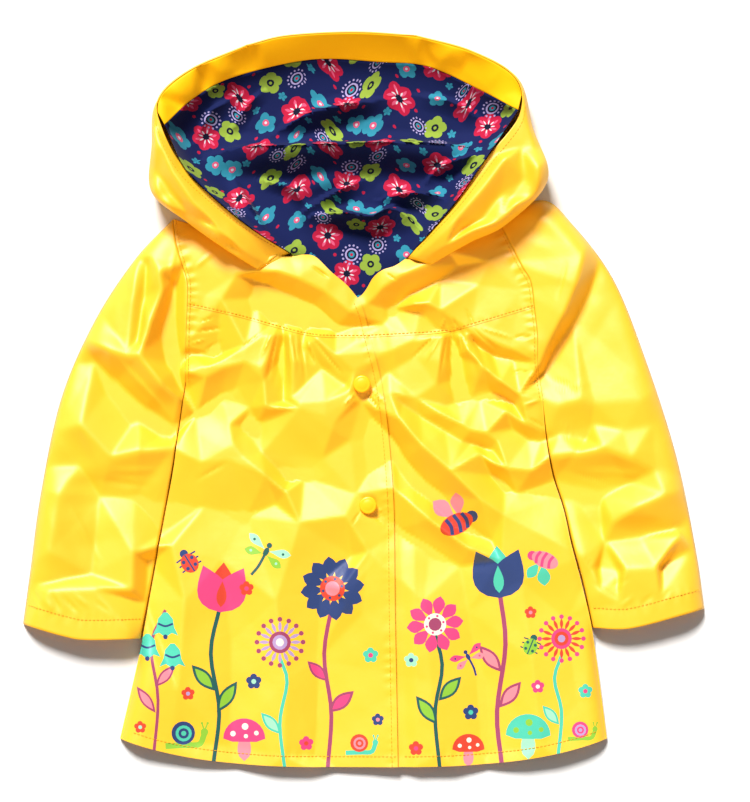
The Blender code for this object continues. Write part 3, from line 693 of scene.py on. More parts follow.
# Creases placed on the photo, each a line of (across, down, lift): where it is in the
# photo's pixels, and its height in millimetres over cloth that would lie smooth. Cloth spans flat
# facets between them.
CREASES: Creases = (
    # left sleeve
    ((84, 340, 3), (110, 350, 5), (128, 355, 6), (142, 356, 8), (163, 383, 8), (180, 398, 5)),
    ((95, 360, -4), (112, 386, -6), (139, 415, -7), (171, 434, -6)),
    ((112, 456, 3), (140, 450, 5), (174, 448, 4)),
    ((60, 493, 3), (100, 496, -4), (135, 498, -5), (152, 512, -5), (162, 536, -3)),
    ((46, 467, -3), (80, 466, -3), (100, 463, 1)),
    ((60, 430, 2), (82, 425, 4)),
    ((50, 590, 3), (95, 588, 4), (133, 588, 3)),
    ((50, 552, 3), (36, 586, -1), (92, 574, -2)),
    ((134, 552, 3), (157, 546, 2)),
    ((150, 562, -5), (146, 602, -4)),
    ((152, 258, 3), (160, 272, 6), (163, 290, 6), (150, 325, 7), (141, 353, 8)),
    ((174, 285, -4), (167, 330, -7), (174, 368, -7), (182, 392, -4)),
    ((187, 262, 2), (187, 300, 2), (187, 345, 1)),
    ((137, 256, 3), (134, 300, 4), (129, 352, 5)),
    ((147, 264, -1), (144, 300, -1), (139, 340, 1)),
    ((122, 272, -2), (100, 312, -2)),
    # right sleeve
    ((583, 256, 6), (575, 285, 8), (562, 315, 8), (548, 342, 6), (539, 364, 4)),
    ((598, 264, -3), (587, 296, -4), (574, 322, -4), (558, 344, -4), (543, 372, -3)),
    ((562, 404, 4), (580, 399, 4), (594, 404, 2)),
    ((560, 434, 0), (586, 442, -2), (592, 424, -1)),
    ((550, 456, 5), (575, 453, 4), (602, 447, 5), (630, 458, 4), (654, 470, 1)),
    ((553, 480, -3), (570, 491, -5), (600, 496, -6), (630, 483, -4)),
    ((612, 522, 1), (637, 506, 4), (664, 494, 4)),
    ((604, 541, -3), (640, 537, -4), (676, 529, -3)),
    ((624, 568, 4), (655, 567, 4), (679, 536, 2)),
    ((692, 549, -2), (660, 566, -2)),
    ((598, 568, -3), (620, 571, -1)),
    ((640, 400, 3), (655, 392, 2)),
    ((622, 430, 1), (652, 425, 1)),
    ((583, 556, 3), (592, 566, 2)),
    ((600, 590, 2), (618, 600, 2), (660, 596, 3)),
    # left front
    ((190, 353, -3), (217, 357, -4)),
    ((188, 371, 4), (205, 366, 4), (224, 358, 3), (246, 345, 3), (262, 336, 2)),
    ((196, 414, -3), (222, 396, -3), (237, 387, -2)),
    ((206, 377, 4), (226, 367, 4), (246, 362, 4), (262, 368, 4)),
    ((243, 426, -3), (250, 408, -2), (258, 423, -3)),
    ((283, 334, -1), (281, 358, -4), (284, 402, -1)),
    ((276, 335, 2), (270, 358, 3), (264, 380, 3)),
    ((290, 336, 2), (292, 360, 3), (291, 398, 2)),
    ((266, 406, 4), (300, 408, 4), (325, 415, 4), (332, 430, 3)),
    ((262, 453, -2), (290, 481, -4), (304, 478, -3), (322, 458, -1)),
    ((242, 455, 3), (266, 475, 4), (286, 491, 3)),
    ((202, 462, 3), (232, 460, 3)),
    ((204, 506, -2), (246, 516, -3), (276, 504, -2)),
    ((300, 522, 3), (346, 516, 3)),
    ((316, 338, 3), (336, 355, 3), (354, 371, 2)),
    ((304, 348, -1), (322, 368, -2), (346, 385, -1)),
    ((300, 403, 4), (325, 401, 4), (349, 391, 2)),
    ((354, 400, 2), (334, 424, 3)),
    ((361, 402, -1), (350, 440, -1), (356, 494, -1)),
    ((230, 425, 1), (234, 444, 3)),
    # right front
    ((451, 334, -2), (455, 356, -5), (458, 380, -5), (458, 402, -3)),
    ((464, 338, 2), (468, 350, 4), (482, 366, 5), (500, 381, 5), (519, 395, 4)),
    ((469, 398, -3), (480, 399, -3), (490, 391, -2), (502, 399, -4), (514, 404, -3)),
    ((471, 331, 2), (486, 339, 3), (511, 349, 3)),
    ((477, 345, -2), (492, 355, -3), (513, 359, -2)),
    ((443, 336, 2), (440, 362, 3), (436, 384, 2), (446, 406, -1)),
    ((416, 398, 1), (440, 413, 3), (462, 424, 3)),
    ((402, 404, 0), (420, 416, -2), (445, 431, -2), (462, 441, -1)),
    ((390, 392, 3), (400, 419, 6), (422, 445, 7), (450, 470, 7), (480, 499, 5), (503, 514, 3)),
    ((389, 442, -5), (402, 463, -5), (426, 491, -5), (456, 525, -4), (492, 541, -2)),
    ((394, 488, 2), (430, 519, 4), (470, 548, 4), (500, 560, 2)),
    ((398, 530, -3), (430, 549, -3), (460, 566, -2)),
    ((470, 430, 3), (486, 433, 3), (496, 440, 2)),
    ((471, 444, -2), (484, 449, -3), (493, 450, -2)),
    ((480, 453, 2), (491, 462, 4), (506, 468, 4), (531, 470, 3)),
    ((492, 476, -3), (505, 487, -4), (517, 493, -2)),
    ((506, 411, 3), (526, 424, 3), (543, 431, 2)),
    ((512, 429, -2), (528, 439, -3), (541, 441, -2)),
    ((388, 352, 2), (412, 341, 2)),
    ((388, 372, -1), (416, 356, 0)),
    # lower fronts
    ((172, 545, 2), (185, 600, 3), (178, 690, 3), (172, 740, 1)),
    ((222, 560, 0), (232, 640, -2), (232, 745, -2)),
    ((276, 600, 2), (286, 680, 3), (284, 755, 2)),
    ((322, 585, -1), (318, 660, -2), (320, 755, -2)),
    ((368, 551, 2), (341, 588, 3), (345, 603, 2), (362, 614, 1)),
    ((352, 556, -2), (328, 576, -1)),
    ((424, 600, 2), (430, 680, 2), (438, 755, 2)),
    ((468, 610, -1), (480, 680, -2), (486, 752, -2)),
    ((520, 580, 2), (532, 660, 3), (540, 745, 3)),
    ((566, 620, -1), (578, 700, -1)),
    # neck and yokes
    ((289, 256, 1), (304, 254, 3), (318, 262, 4), (331, 272, 4), (345, 285, 3), (356, 297, 2)),
    ((262, 272, 1), (280, 272, 2), (300, 279, 3), (326, 292, 4), (350, 312, 3)),
    ((252, 278, -5), (264, 287, -8), (284, 298, -8), (306, 311, -7), (336, 328, -4)),
    ((256, 298, -6), (280, 314, -6), (306, 326, -4)),
    ((236, 276, 1), (222, 300, 2)),
    ((200, 262, 2), (205, 296, 1)),
    ((409, 256, 1), (396, 261, 3), (384, 270, 4), (372, 282, 3), (361, 296, 2)),
    ((446, 250, 1), (428, 264, 3), (402, 275, 4), (380, 290, 4), (367, 304, 3)),
    ((458, 266, -4), (441, 280, -6), (412, 294, -5), (392, 309, -4), (384, 324, -1)),
    ((414, 304, 3), (428, 303, 3), (440, 310, 3)),
    ((420, 312, -1), (438, 330, -1)),
    ((488, 262, 2), (478, 285, 1)),
    ((512, 262, 2), (520, 290, 2)),
)


# The same for the hood's sides, over their own form, with one lift for each crease
HOOD_PLACES = (
    ((172, 146), (184, 168), (205, 195), (228, 218), (252, 242), (276, 262)),
    ((164, 150), (176, 176), (196, 206), (220, 232), (246, 256), (262, 270)),
    ((160, 176), (172, 196), (188, 214)),
    ((156, 200), (170, 208)),
    ((200, 222), (214, 226), (232, 244)),
    ((236, 246), (252, 258)),
    ((494, 158), (470, 186), (446, 214), (424, 238), (404, 254)),
    ((504, 160), (482, 190), (456, 220), (432, 244), (414, 258)),
    ((520, 150), (524, 180), (510, 200)),
    ((536, 170), (538, 196)),
    ((500, 196), (480, 222), (462, 232)),
    ((468, 232), (446, 246), (430, 254)),
    ((514, 206), (500, 222)),
)
HOOD_LIFTS = (-3.6, 1.6, -4.6, 3.0, -3.6, 2.2, -3.2, 2.4, -4.6, 3.4, -4.2, 3.2, 3.4)
HOOD_CREASES = tuple(tuple((*spot, lift) for spot in line) for line, lift in zip(HOOD_PLACES, HOOD_LIFTS))
# The same for the hood's turned-in edge
FACING_CREASES = (
    ((161, 104, 2), (170, 126, 1)),
    ((164, 98, -2), (184, 112, -2)),
    ((172, 90, 3), (188, 104, 2)),
    ((192, 71, 2), (196, 102, 3)),
    ((200, 66, -3), (206, 92, -2)),
    ((213, 59, 2), (225, 80, 3)),
    ((232, 54, -1), (240, 72, -1)),
    ((254, 48, -2), (255, 74, -1)),
    ((262, 46, 1), (266, 66, 1)),
    ((330, 38, 0), (334, 58, 0)),
    ((400, 38, -1), (408, 60, -1)),
    ((415, 38, 2), (417, 60, 1)),
    ((424, 42, -2), (430, 62, -2)),
    ((455, 48, 3), (440, 64, 2)),
    ((470, 56, -2), (462, 70, -1)),
    ((500, 70, 1), (488, 88, 1)),
    ((520, 90, -2), (504, 98, -1)),
    ((526, 108, 2), (516, 112, 1)),
)


@dataclass
class Crumple:
    """Flat facets of stiff cloth between given creases, just rounded where they meet.

    Attributes:
        creases: Lines of places and lifts.
        low, high: Corners of the field that it covers.
        soft: Millimetres over which a crease is rounded.
        heights: Its height on a grid of one millimetre, made on first use.
    """

    creases: Creases
    low: tuple[float, float]
    high: tuple[float, float]
    soft: int = 2
    heights: np.ndarray | None = None

    def spread(self) -> np.ndarray:
        """Work out the facets.

        Returns:
            Height at each millimetre.
        """
        spots, lifts, edges = [], [], []
        for crease in self.creases:
            first = len(spots)
            spots += [tuple(spot) for spot in placed(crease)]
            lifts += [lift for _, _, lift in crease]
            edges += [(first + k, first + k + 1) for k in range(len(crease) - 1)]
        posts = 7
        for x in np.linspace(self.low[0], self.high[0], posts):
            spots += [(x, self.low[1]), (x, self.high[1])]
        for y in np.linspace(self.low[1], self.high[1], posts)[1:-1]:
            spots += [(self.low[0], y), (self.high[0], y)]
        lifts += [0.0] * (len(spots) - len(lifts))
        points, _, faces, origins, _, _ = delaunay_2d_cdt(spots, edges, [], 0, 1e-4, True)
        lift = np.array([np.mean([lifts[k] for k in o]) if o else 0.0 for o in origins])
        points = np.array([tuple(p) for p in points])
        wide, tall = (int(b - a) + 1 for a, b in zip(self.low, self.high))
        heights = np.zeros((wide, tall))
        for face in faces:
            corners = points[list(face)]
            lo = np.clip(np.floor(corners.min(0) - self.low), 0, None).astype(int)
            hi = np.ceil(corners.max(0) - self.low).astype(int) + 1
            across, up = np.arange(lo[0], min(hi[0], wide)), np.arange(lo[1], min(hi[1], tall))
            x, y = np.meshgrid(across, up, indexing="ij")
            (ax, ay), (bx, by), (cx, cy) = corners - self.low
            area = (bx - ax) * (cy - ay) - (cx - ax) * (by - ay)
            if abs(area) < 1e-6:
                continue
            b = ((x - ax) * (cy - ay) - (cx - ax) * (y - ay)) / area
            c = ((bx - ax) * (y - ay) - (x - ax) * (by - ay)) / area
            inside = (b >= -1e-6) & (c >= -1e-6) & (b + c <= 1 + 1e-6)
            value = lift[face[0]] * (1 - b - c) + lift[face[1]] * b + lift[face[2]] * c
            heights[x[inside], y[inside]] = value[inside]
        weights = np.bartlett(2 * self.soft + 3)[1:-1]
        for axis in (0, 1):
            moved = [w * np.roll(heights, k - self.soft, axis) for k, w in enumerate(weights)]
            heights = sum(moved) / weights.sum()
        return heights

    def __call__(self, x: np.ndarray, y: np.ndarray) -> np.ndarray:
        """Height that the crumples add.

        Args:
            x, y: Coordinates of the points.

        Returns:
            Height at each point.
        """
        if self.heights is None:
            self.heights = self.spread()
        px = np.clip(x - self.low[0], 0, self.heights.shape[0] - 1.001)
        py = np.clip(y - self.low[1], 0, self.heights.shape[1] - 1.001)
        c, r = px.astype(int), py.astype(int)
        u, v = px - c, py - r
        near, far = self.heights[c, r], self.heights[c + 1, r]
        near_up, far_up = self.heights[c, r + 1], self.heights[c + 1, r + 1]
        return (near * (1 - u) + far * u) * (1 - v) + (near_up * (1 - u) + far_up * u) * v


CRUMPLE = Crumple(CREASES, low=(-310.0, -330.0), high=(310.0, 190.0))
HOOD_CRUMPLE = Crumple(HOOD_CREASES, low=(-190.0, 90.0), high=(170.0, 330.0))
FACING_CRUMPLE = Crumple(FACING_CREASES, low=(-190.0, 200.0), high=(170.0, 330.0))


def small_creases() -> tuple[tuple[float, ...], ...]:
    """The sharp small creases as rows of a fold table.

    Returns:
        Rows in millimetres.
    """
    return tuple((*placed((row[:2], row[2:4])).ravel(), *row[4:]) for row in WRINKLES)


def beside(curve: np.ndarray, off: float) -> np.ndarray:
    """A curve moved sideways.

    Args:
        curve: The curve.
        off: How far, to the left of its run.

    Returns:
        The moved curve.
    """
    along = np.gradient(curve, axis=0)
    along /= np.linalg.norm(along, axis=1, keepdims=True)
    return curve + np.column_stack([-along[:, 1], along[:, 0]]) * off


# Seam, its points, how far beside it the thread runs, then depth, pitch and half width of its dimples
SEAM_PUCKERS = (
    (ARMHOLE_UPPER, 24, 4.0, 0.62, 7.9, 4.2),
    (ARMHOLE_LOWER, 20, 4.0, 0.5, 8.6, 4.4),
    (YOKE_SEAM, 40, 1.5, 0.16, 9.0, 2.6),
    (CUFF, 30, 17.0, 0.34, 9.0, 5.0),
)


def sewn_lines() -> list[SewnLine]:
    """Sewn lines whose thread draws the cloth in.

    Returns:
        Rows of a pucker table.
    """
    rows = []
    for side, turn in zip(SIDES, (1.0, -1.0)):
        for seam, count, off, depth, pitch, half in SEAM_PUCKERS:
            rows.append((beside(spline(seam[side], count), off * turn), depth, pitch, half))
    rows.append((beside(spline(FRONT_EDGE["left"], 60), -6.0), 0.3, 11.0, 3.8))
    rows.append((beside(hem(-200.0, 200.0, 60), 11.0), 0.16, 14.0, 5.0))
    return rows


@dataclass(frozen=True)
class Form:
    """Heights of the laid coat over the floor.

    Attributes:
        body_rise: How far the fronts stand over the back.
        sleeve_rise: How far the sleeves' upper cloth stands over the lower.
        least_rise: Least distance between upper and lower cloth, away from the folded edges.
        edge_roll: How soon the cloth rises from a folded edge.
        pressed: How much further from their edges the body and a sleeve count that press on each other.
        cuff_span: Stretch of y, upward from the cuffs, over which that sets in.
        arm_span: Distances from the middle over which the body's rise becomes the sleeves'.
        hem_rise: Share of the rise that is left at the hem.
        hem_span: Stretch of y over which the rise falls toward the hem.
        body_span: Distances from the middle over which that fall sets in.
        fold_share: Share of the CAD's soft folds; the crumples make up the rest.
        crumple_share: Scale of the crumples.
        ripple_share: Scale of the slow unevenness.
        bulge, bulge_reach: Height and reach of the fullness below each end of the neck.
        lap_dip: How far the right front dips below the left one.
        lap_span: Distances past the lap's edge over which the dip comes in from its far end.
        lining_floor: Height of the lining's lowest cloth.
        roll_share: Share of the CAD's rolls in the lining; the lips make up the rest.
        lip_share: Scale of the lips.
        climb: How soon the lining falls from the hood's sides.
        crown_climb: How soon it falls from the turned-in edge.
        border: How far from its border the lining's rolls start to fade.
    """

    body_rise: float = 8.0
    sleeve_rise: float = 12.0
    least_rise: float = 2.9
    edge_roll: float = 6.0
    pressed: float = 9.0
    cuff_span: Spot = (-208.0, -178.0)
    arm_span: Spot = (140.0, 200.0)
    hem_rise: float = 0.8
    hem_span: Spot = (-60.0, -300.0)
    body_span: Spot = (200.0, 150.0)
    fold_share: float = 0.35
    crumple_share: float = 2.1
    ripple_share: float = 0.6
    bulge: float = 9.5
    bulge_reach: float = 60.0
    lap_dip: float = 2.6
    lap_span: Spot = (18.0, 4.0)
    lining_floor: float = 3.2
    roll_share: float = 0.7
    lip_share: float = 1.3
    climb: float = 9.0
    crown_climb: float = 11.0
    border: float = 16.0

    def gathers(self) -> tuple[tuple[float, ...], ...]:
        """Pleats that fan from both gathered stretches of the yoke seam.

        Returns:
            Rows of a fold table.
        """
        length, pitch, fan, lift, half = 46.0, 7.0, 2.0, 2.2, 4.5
        rows = []
        for x, y, lean in GATHERS:
            for side in range(-2, 3):
                run = length * (1 - 0.12 * abs(side))
                start = x + side * pitch
                rows.append((start, y - 1, start + side * fan + lean * run, y - run, lift, half))
        return tuple(rows)

    def creased(self, x: np.ndarray, y: np.ndarray) -> np.ndarray:
        """All folds, crumples and puckers of the yellow cloth.

        Args:
            x, y: Coordinates of the points.

        Returns:
            Height that they add at each point.
        """
        soft = self.fold_share * folds(x, y, (*FRONT_FOLDS, *SLEEVE_FOLDS, *self.gathers()))
        sharp = self.crumple_share * CRUMPLE(x, y) + folds(x, y, small_creases(), crisp=True)
        return soft + sharp + self.ripple_share * ripple(x, y) + puckers(x, y, sewn_lines())

    def upper(self, x: np.ndarray, y: np.ndarray, creased: bool = True) -> np.ndarray:
        """Under face of the fronts, yokes and sleeve tops.

        Args:
            x, y: Coordinates of the points.
            creased: Whether the folds are in it.

        Returns:
            Height at each point.
        """
        side = np.full(np.shape(x), np.inf)
        pressed = self.pressed * ramp(y, *self.cuff_span)
        for edges, further in ((SIDE_SEAM, pressed), (SLEEVE_OUTER, 0.0), (SLEEVE_INNER, pressed)):
            for edge in edges.values():
                side = np.minimum(side, distance(x, y, spline(edge, 30))[0] + further)
        shoulders = distance(x, y, spline(SHOULDERS, 30))[0]
        on_sleeve = ramp(np.abs(x), *self.arm_span)
        on_body = ramp(np.abs(x), *self.body_span)
        toward_hem = ramp(y, *self.hem_span)
        high = self.body_rise + (self.sleeve_rise - self.body_rise) * on_sleeve
        high = high * (1 - (1 - self.hem_rise) * toward_hem * on_body)
        if creased:
            high = high + self.creased(x, y)
        for across, up in NECK_BULGES:
            high = high + self.bulge * smooth(1 - np.hypot(x - across, y - up) / self.bulge_reach)
        rolled = (1 - np.exp(-side / self.edge_roll)) * (1 - np.exp(-shoulders / (2 * self.edge_roll)))
        return WALL + GAP + np.clip(high, self.least_rise, None) * rolled

    def lapped(self, x: np.ndarray, y: np.ndarray) -> np.ndarray:
        """Under face of the right front and yoke, which dip to pass under the left ones.

        Args:
            x, y: Coordinates of the points.

        Returns:
            Height at each point.
        """
        edge = joined(spline(YOKE_EDGE["left"], 6), spline(FRONT_EDGE["left"], 30))
        past = x - np.interp(-y, -edge[:, 1], edge[:, 0])
        return np.maximum(self.upper(x, y) - self.lap_dip * ramp(past, *self.lap_span), WALL + GAP)

    def front(self, side: str) -> Height:
        """Which of the two heights a front and its yoke take."""
        return self.upper if side == "left" else self.lapped

    def lining(self, x: np.ndarray, y: np.ndarray) -> np.ndarray:
        """Under face of the hood's lining.

        Args:
            x, y: Coordinates of the points.

        Returns:
            Height at each point.
        """
        climb = np.zeros(np.shape(x))
        border = np.full(np.shape(x), np.inf)
        for edge, base, fall in (
            (LINING_LEFT, 0.0, self.climb),
            (LINING_RIGHT, 0.0, self.climb),
            (FACING_INNER, self.lining_floor, self.crown_climb),
        ):
            curve = spline(edge, 25)
            d, place = distance(x, y, curve)
            border = np.minimum(border, d)
            high = np.interp(place, np.arange(len(curve)), curve[:, 2]) - base
            climb = climb + (high * np.exp(-d / fall)) ** 4
        rolls = self.roll_share * folds(x, y, LINING_ROLLS) + self.lip_share * lips(x, y, LIPS)
        return self.lining_floor + climb**0.25 + rolls * smooth(border / self.border)

    def flat(self, x: np.ndarray, y: np.ndarray) -> np.ndarray:
        """Under face of the back, which lies on the floor.

        Args:
            x, y: Coordinates of the points.

        Returns:
            Height at each point.
        """
        return np.zeros(np.shape(x))

    def over_body(self, points: np.ndarray) -> np.ndarray:
        """Points of the hood's outer face, lifted off the cloth that they lie on.

        Args:
            points: Grid of points.

        Returns:
            The lifted grid.
        """
        x, y, z = points[..., 0], points[..., 1], points[..., 2]
        line = np.vstack([SLEEVE_OUTER["left"][1], *SHOULDERS, *SLEEVE_OUTER["right"][1:3]])
        top, highest = np.interp(x, line[:, 0], line[:, 1]), line[:, 1].max()
        over_top = ramp(y - top, 8.0, 2.0) * ramp(np.abs(x - NECK_MIDDLE), *NECK_SPAN)
        rest = (self.upper(x, y, creased=False) + WALL * THICKEST + GAP) * over_top
        lap = (WALL + GAP) * ramp(y - highest, 8.0, 0.0)
        return np.dstack([x, y, np.maximum(z, np.maximum(rest, lap))])


FORM = Form()


# ---------------------------------------------------------------------------------------------
# Prints
# ---------------------------------------------------------------------------------------------


def toward(x: float, y: float, reach: float, turn: float) -> Spot:
    """The place at a distance and a turn from another.

    Args:
        x, y: Where it starts from.
        reach: Distance.
        turn: Direction in degrees from +X.

    Returns:
        The place.
    """
    return x + reach * math.cos(math.radians(turn)), y + reach * math.sin(math.radians(turn))


@dataclass(frozen=True)
class Stance:
    """Where a figure stands in a print, and which way it heads.

    Attributes:
        x, y: Its middle.
        size: Its scale.
        turn: Where it heads, in degrees from +X.
    """

    x: float
    y: float
    size: float
    turn: float

    def at(self, ahead: float, aside: float) -> Spot:
        """A place on the figure.

        Args:
            ahead, aside: Shares of its size.

        Returns:
            The place in the print.
        """
        c, s = math.cos(math.radians(self.turn)), math.sin(math.radians(self.turn))
        return self.x + (ahead * c - aside * s) * self.size, self.y + (ahead * s + aside * c) * self.size


@dataclass
class Design:
    """A print as flat outlines, each over the ones before it.

    Attributes:
        outlines: Pairs of finish and outline.
    """

    outlines: list[tuple[Finish, np.ndarray]] = field(default_factory=list)

    def shape(self, tint: Enum, points: np.ndarray) -> None:
        """Add one filled outline.

        Args:
            tint: Colour of the shape.
            points: Its outline.
        """
        self.outlines.append((tint.value, np.asarray(points, float)))

    def disc(self, tint: Enum, x: float, y: float, wide: float, high: float = 0.0, turn: float = 0.0) -> None:
        """Add a circle or ellipse.

        Args:
            tint: Colour.
            x, y: Centre.
            wide: Width.
            high: Height, or 0 for a circle.
            turn: Turn in degrees.
        """
        count = max(7, min(30, int(6 + wide * 0.7)))
        a = np.linspace(0, 2 * math.pi, count, endpoint=False)
        px, py = np.cos(a) * wide / 2, np.sin(a) * (high or wide) / 2
        c, s = math.cos(math.radians(turn)), math.sin(math.radians(turn))
        self.shape(tint, np.column_stack([x + px * c - py * s, y + px * s + py * c]))

    def lens(self, tint: Enum, start: Spot, end: Spot, wide: float, tip: float = 0.5) -> None:
        """Add a leaf or petal between two points.

        Args:
            tint: Colour.
            start, end: Its ends.
            wide: Greatest width.
            tip: Where along it that is, from 0 to 1.
        """
        t = np.linspace(0, 1, 8)
        spread = np.sin(math.pi * t ** (math.log(0.5) / math.log(tip))) * wide / 2
        a, b = np.array(start, float), np.array(end, float)
        along = (b - a) / np.linalg.norm(b - a)
        across = np.array([-along[1], along[0]])
        middle = a + (b - a) * t[:, None]
        left, right = middle + across * spread[:, None], middle - across * spread[:, None]
        self.shape(tint, np.vstack([left, right[-2:0:-1]]))

    def petals(self, tint: Enum, x: float, y: float, reach: float, count: int, wide: float,
               turn: float = 0.0, start: float = 0.0, tip: float = 0.66) -> None:
        """Add petals round a centre.

        Args:
            tint: Colour.
            x, y: Centre.
            reach: Distance of the tips from it.
            count: Number of petals.
            wide: Width of a petal.
            turn: Turn of the first one, in degrees.
            start: Distance of their roots from the centre.
            tip: Where along a petal it is widest.
        """
        for k in range(count):
            a = turn + 360 * k / count
            self.lens(tint, toward(x, y, start, a), toward(x, y, reach, a), wide, tip)

    def spots(self, tint: Enum, x: float, y: float, reach: float, count: int, wide: float,
              high: float = 0.0, turn: float = 0.0) -> None:
        """Add discs round a centre.

        Args:
            tint: Colour.
            x, y: Centre.
            reach: Distance of their middles from it.
            count: Number of discs.
            wide: Width of a disc.
            high: Its height, or 0 for a circle.
            turn: Turn of the first one, in degrees.
        """
        for k in range(count):
            self.disc(tint, *toward(x, y, reach, turn + 360 * k / count), wide, high)

    def line(self, tint: Enum, points: Points, wide: float) -> None:
        """Add a smooth stroke.

        Args:
            tint: Colour.
            points: Points along it.
            wide: Its width.
        """
        path = spline(points, max(4, 2 + 3 * len(points)))
        along = np.gradient(path, axis=0)
        along /= np.linalg.norm(along, axis=1, keepdims=True)
        across = np.column_stack([-along[:, 1], along[:, 0]]) * wide / 2
        self.shape(tint, np.vstack([path + across, (path - across)[::-1]]))


def daisy(d: Design, x: float, y: float, reach: float, petal: Enum, eye: Enum, middle: Enum,
          count: int = 12) -> None:
    """Add a daisy head.

    Args:
        d: Print that it goes on.
        x, y: Its middle.
        reach: Length of its petals from the middle.
        petal, eye, middle: Its colours from the outside in.
        count: Number of petals.
    """
    d.petals(petal, x, y, reach, count, reach * 0.44, 7, reach * 0.18)
    d.disc(eye, x, y, reach * 0.78)
    d.disc(middle, x, y, reach * 0.46)
    d.spots(petal, x, y, reach * 0.30, 6, reach * 0.09, turn=15)


def tulip(d: Design, x: float, y: float, size: float, cup: Enum, inner: Enum, turn: float = 0.0) -> None:
    """Add a tulip head of three petals.

    Args:
        d: Print that it goes on.
        x, y: Bottom of its cup.
        size: Its height.
        cup, inner: Colours of the outer petals and of the one between them.
        turn: Lean in degrees.
    """
    for spread, tint in ((0.0, inner), (24.064, cup), (-24.064, cup)):
        d.lens(tint, (x, y), toward(x, y, size, 90 - turn + spread), size * 0.62, 0.42)
    ends = [toward(x, y, size * share, 90 - turn) for share in (0.1, 0.62)]
    d.lens(inner, *ends, size * 0.2, 0.4)


def globe(d: Design, x: float, y: float, size: float, spokes: Enum, ball: Enum, middle: Enum) -> None:
    """Add a round seed head with spokes.

    Args:
        d: Print that it goes on.
        x, y: Its middle.
        size: Its width.
        spokes, ball, middle: Its colours.
    """
    d.petals(spokes, x, y, size * 0.43, 16, size * 0.07, start=size * 0.2, tip=0.5)
    d.spots(ball, x, y, size * 0.46, 16, size * 0.1)
    d.disc(ball, x, y, size * 0.44)
    d.disc(spokes, x, y, size * 0.3)
    d.disc(middle, x, y, size * 0.16)


def bellflower(d: Design, x: float, y: float, size: float, bell: Enum, lip: Enum) -> None:
    """Add one hanging bell.

    Args:
        d: Print that it goes on.
        x, y: Where it hangs from.
        size: Its height.
        bell, lip: Its colours.
    """
    half = [(-0.08, 0), (-0.3, -0.25), (-0.36, -0.6), (-0.52, -0.92), (-0.26, -0.82)]
    outline = [*half, (0, -1.0), *((-px, py) for px, py in half[::-1])]
    d.shape(bell, np.array(outline) * size + (x, y))
    d.disc(lip, x, y - size * 0.98, size * 0.2)
    band = np.array(((-0.3, -0.45), (0, -0.55), (0.3, -0.45))) * size + (x, y)
    d.line(lip, band, size * 0.08)


def toadstool(d: Design, x: float, y: float, size: float, cap: Enum, spots: Enum, stalk: Enum) -> None:
    """Add a toadstool.

    Args:
        d: Print that it goes on.
        x, y: Foot of its stalk.
        size: Its height.
        cap, spots, stalk: Its colours.
    """
    d.lens(stalk, (x, y - size * 0.06), (x, y + size * 0.8), size * 0.34, 0.35)
    a = np.linspace(0, math.pi, 14)
    top = np.column_stack([np.cos(a) * size * 0.52, np.sin(a) * size * 0.5])
    brim = np.array(((-0.3, -0.08), (0.3, -0.08))) * size
    d.shape(cap, np.vstack([top, brim]) + (x, y + size * 0.5))
    for px, py, wide in ((-0.28, 0.62, 0.14), (0.02, 0.8, 0.17), (0.3, 0.64, 0.12), (0.04, 0.56, 0.11)):
        d.disc(spots, x + px * size, y + py * size, wide * size)


def ladybird(d: Design, x: float, y: float, size: float, shell: Enum, dark: Enum, turn: float) -> None:
    """Add a ladybird seen from above.

    Args:
        d: Print that it goes on.
        x, y: Its middle.
        size: Its length.
        shell, dark: Its colours.
        turn: Where it heads, in degrees from +X.
    """
    at = Stance(x, y, size, turn).at
    for px in (-0.22, 0.02, 0.26):
        d.line(dark, (at(px, -0.46), at(px + 0.02, 0.0), at(px, 0.46)), size * 0.07)
    d.disc(dark, *at(0.42, 0), size * 0.36)
    d.disc(shell, *at(-0.04, 0), size * 0.84, size * 0.72, turn)
    d.line(dark, (at(-0.44, 0), at(0, 0.0), at(0.36, 0)), size * 0.06)
    for px, py in ((-0.2, 0.18), (0.12, 0.2), (-0.2, -0.18), (0.12, -0.2)):
        d.disc(dark, *at(px, py), size * 0.16)


def bee(d: Design, x: float, y: float, size: float, turn: float,
        body: Enum, stripe: Enum, wing: Enum) -> None:
    """Add a bee.

    Args:
        d: Print that it goes on.
        x, y: Its middle.
        size: Its length.
        turn: Where it heads, in degrees from +X.
        body, stripe, wing: Its colours.
    """
    at = Stance(x, y, size, turn).at
    d.lens(wing, at(0.05, 0.1), at(-0.3, 0.75), size * 0.42, 0.64)
    d.lens(wing, at(0.12, 0.1), at(0.3, 0.72), size * 0.34, 0.64)
    d.disc(stripe, *at(0.42, 0.02), size * 0.3)
    d.disc(body, *at(0, 0), size * 0.86, size * 0.5, turn)
    for px, tall in ((-0.2, 0.2), (0.02, 0.235), (0.22, 0.2)):
        d.line(stripe, (at(px, -tall), at(px + 0.05, 0), at(px, tall)), size * 0.09)


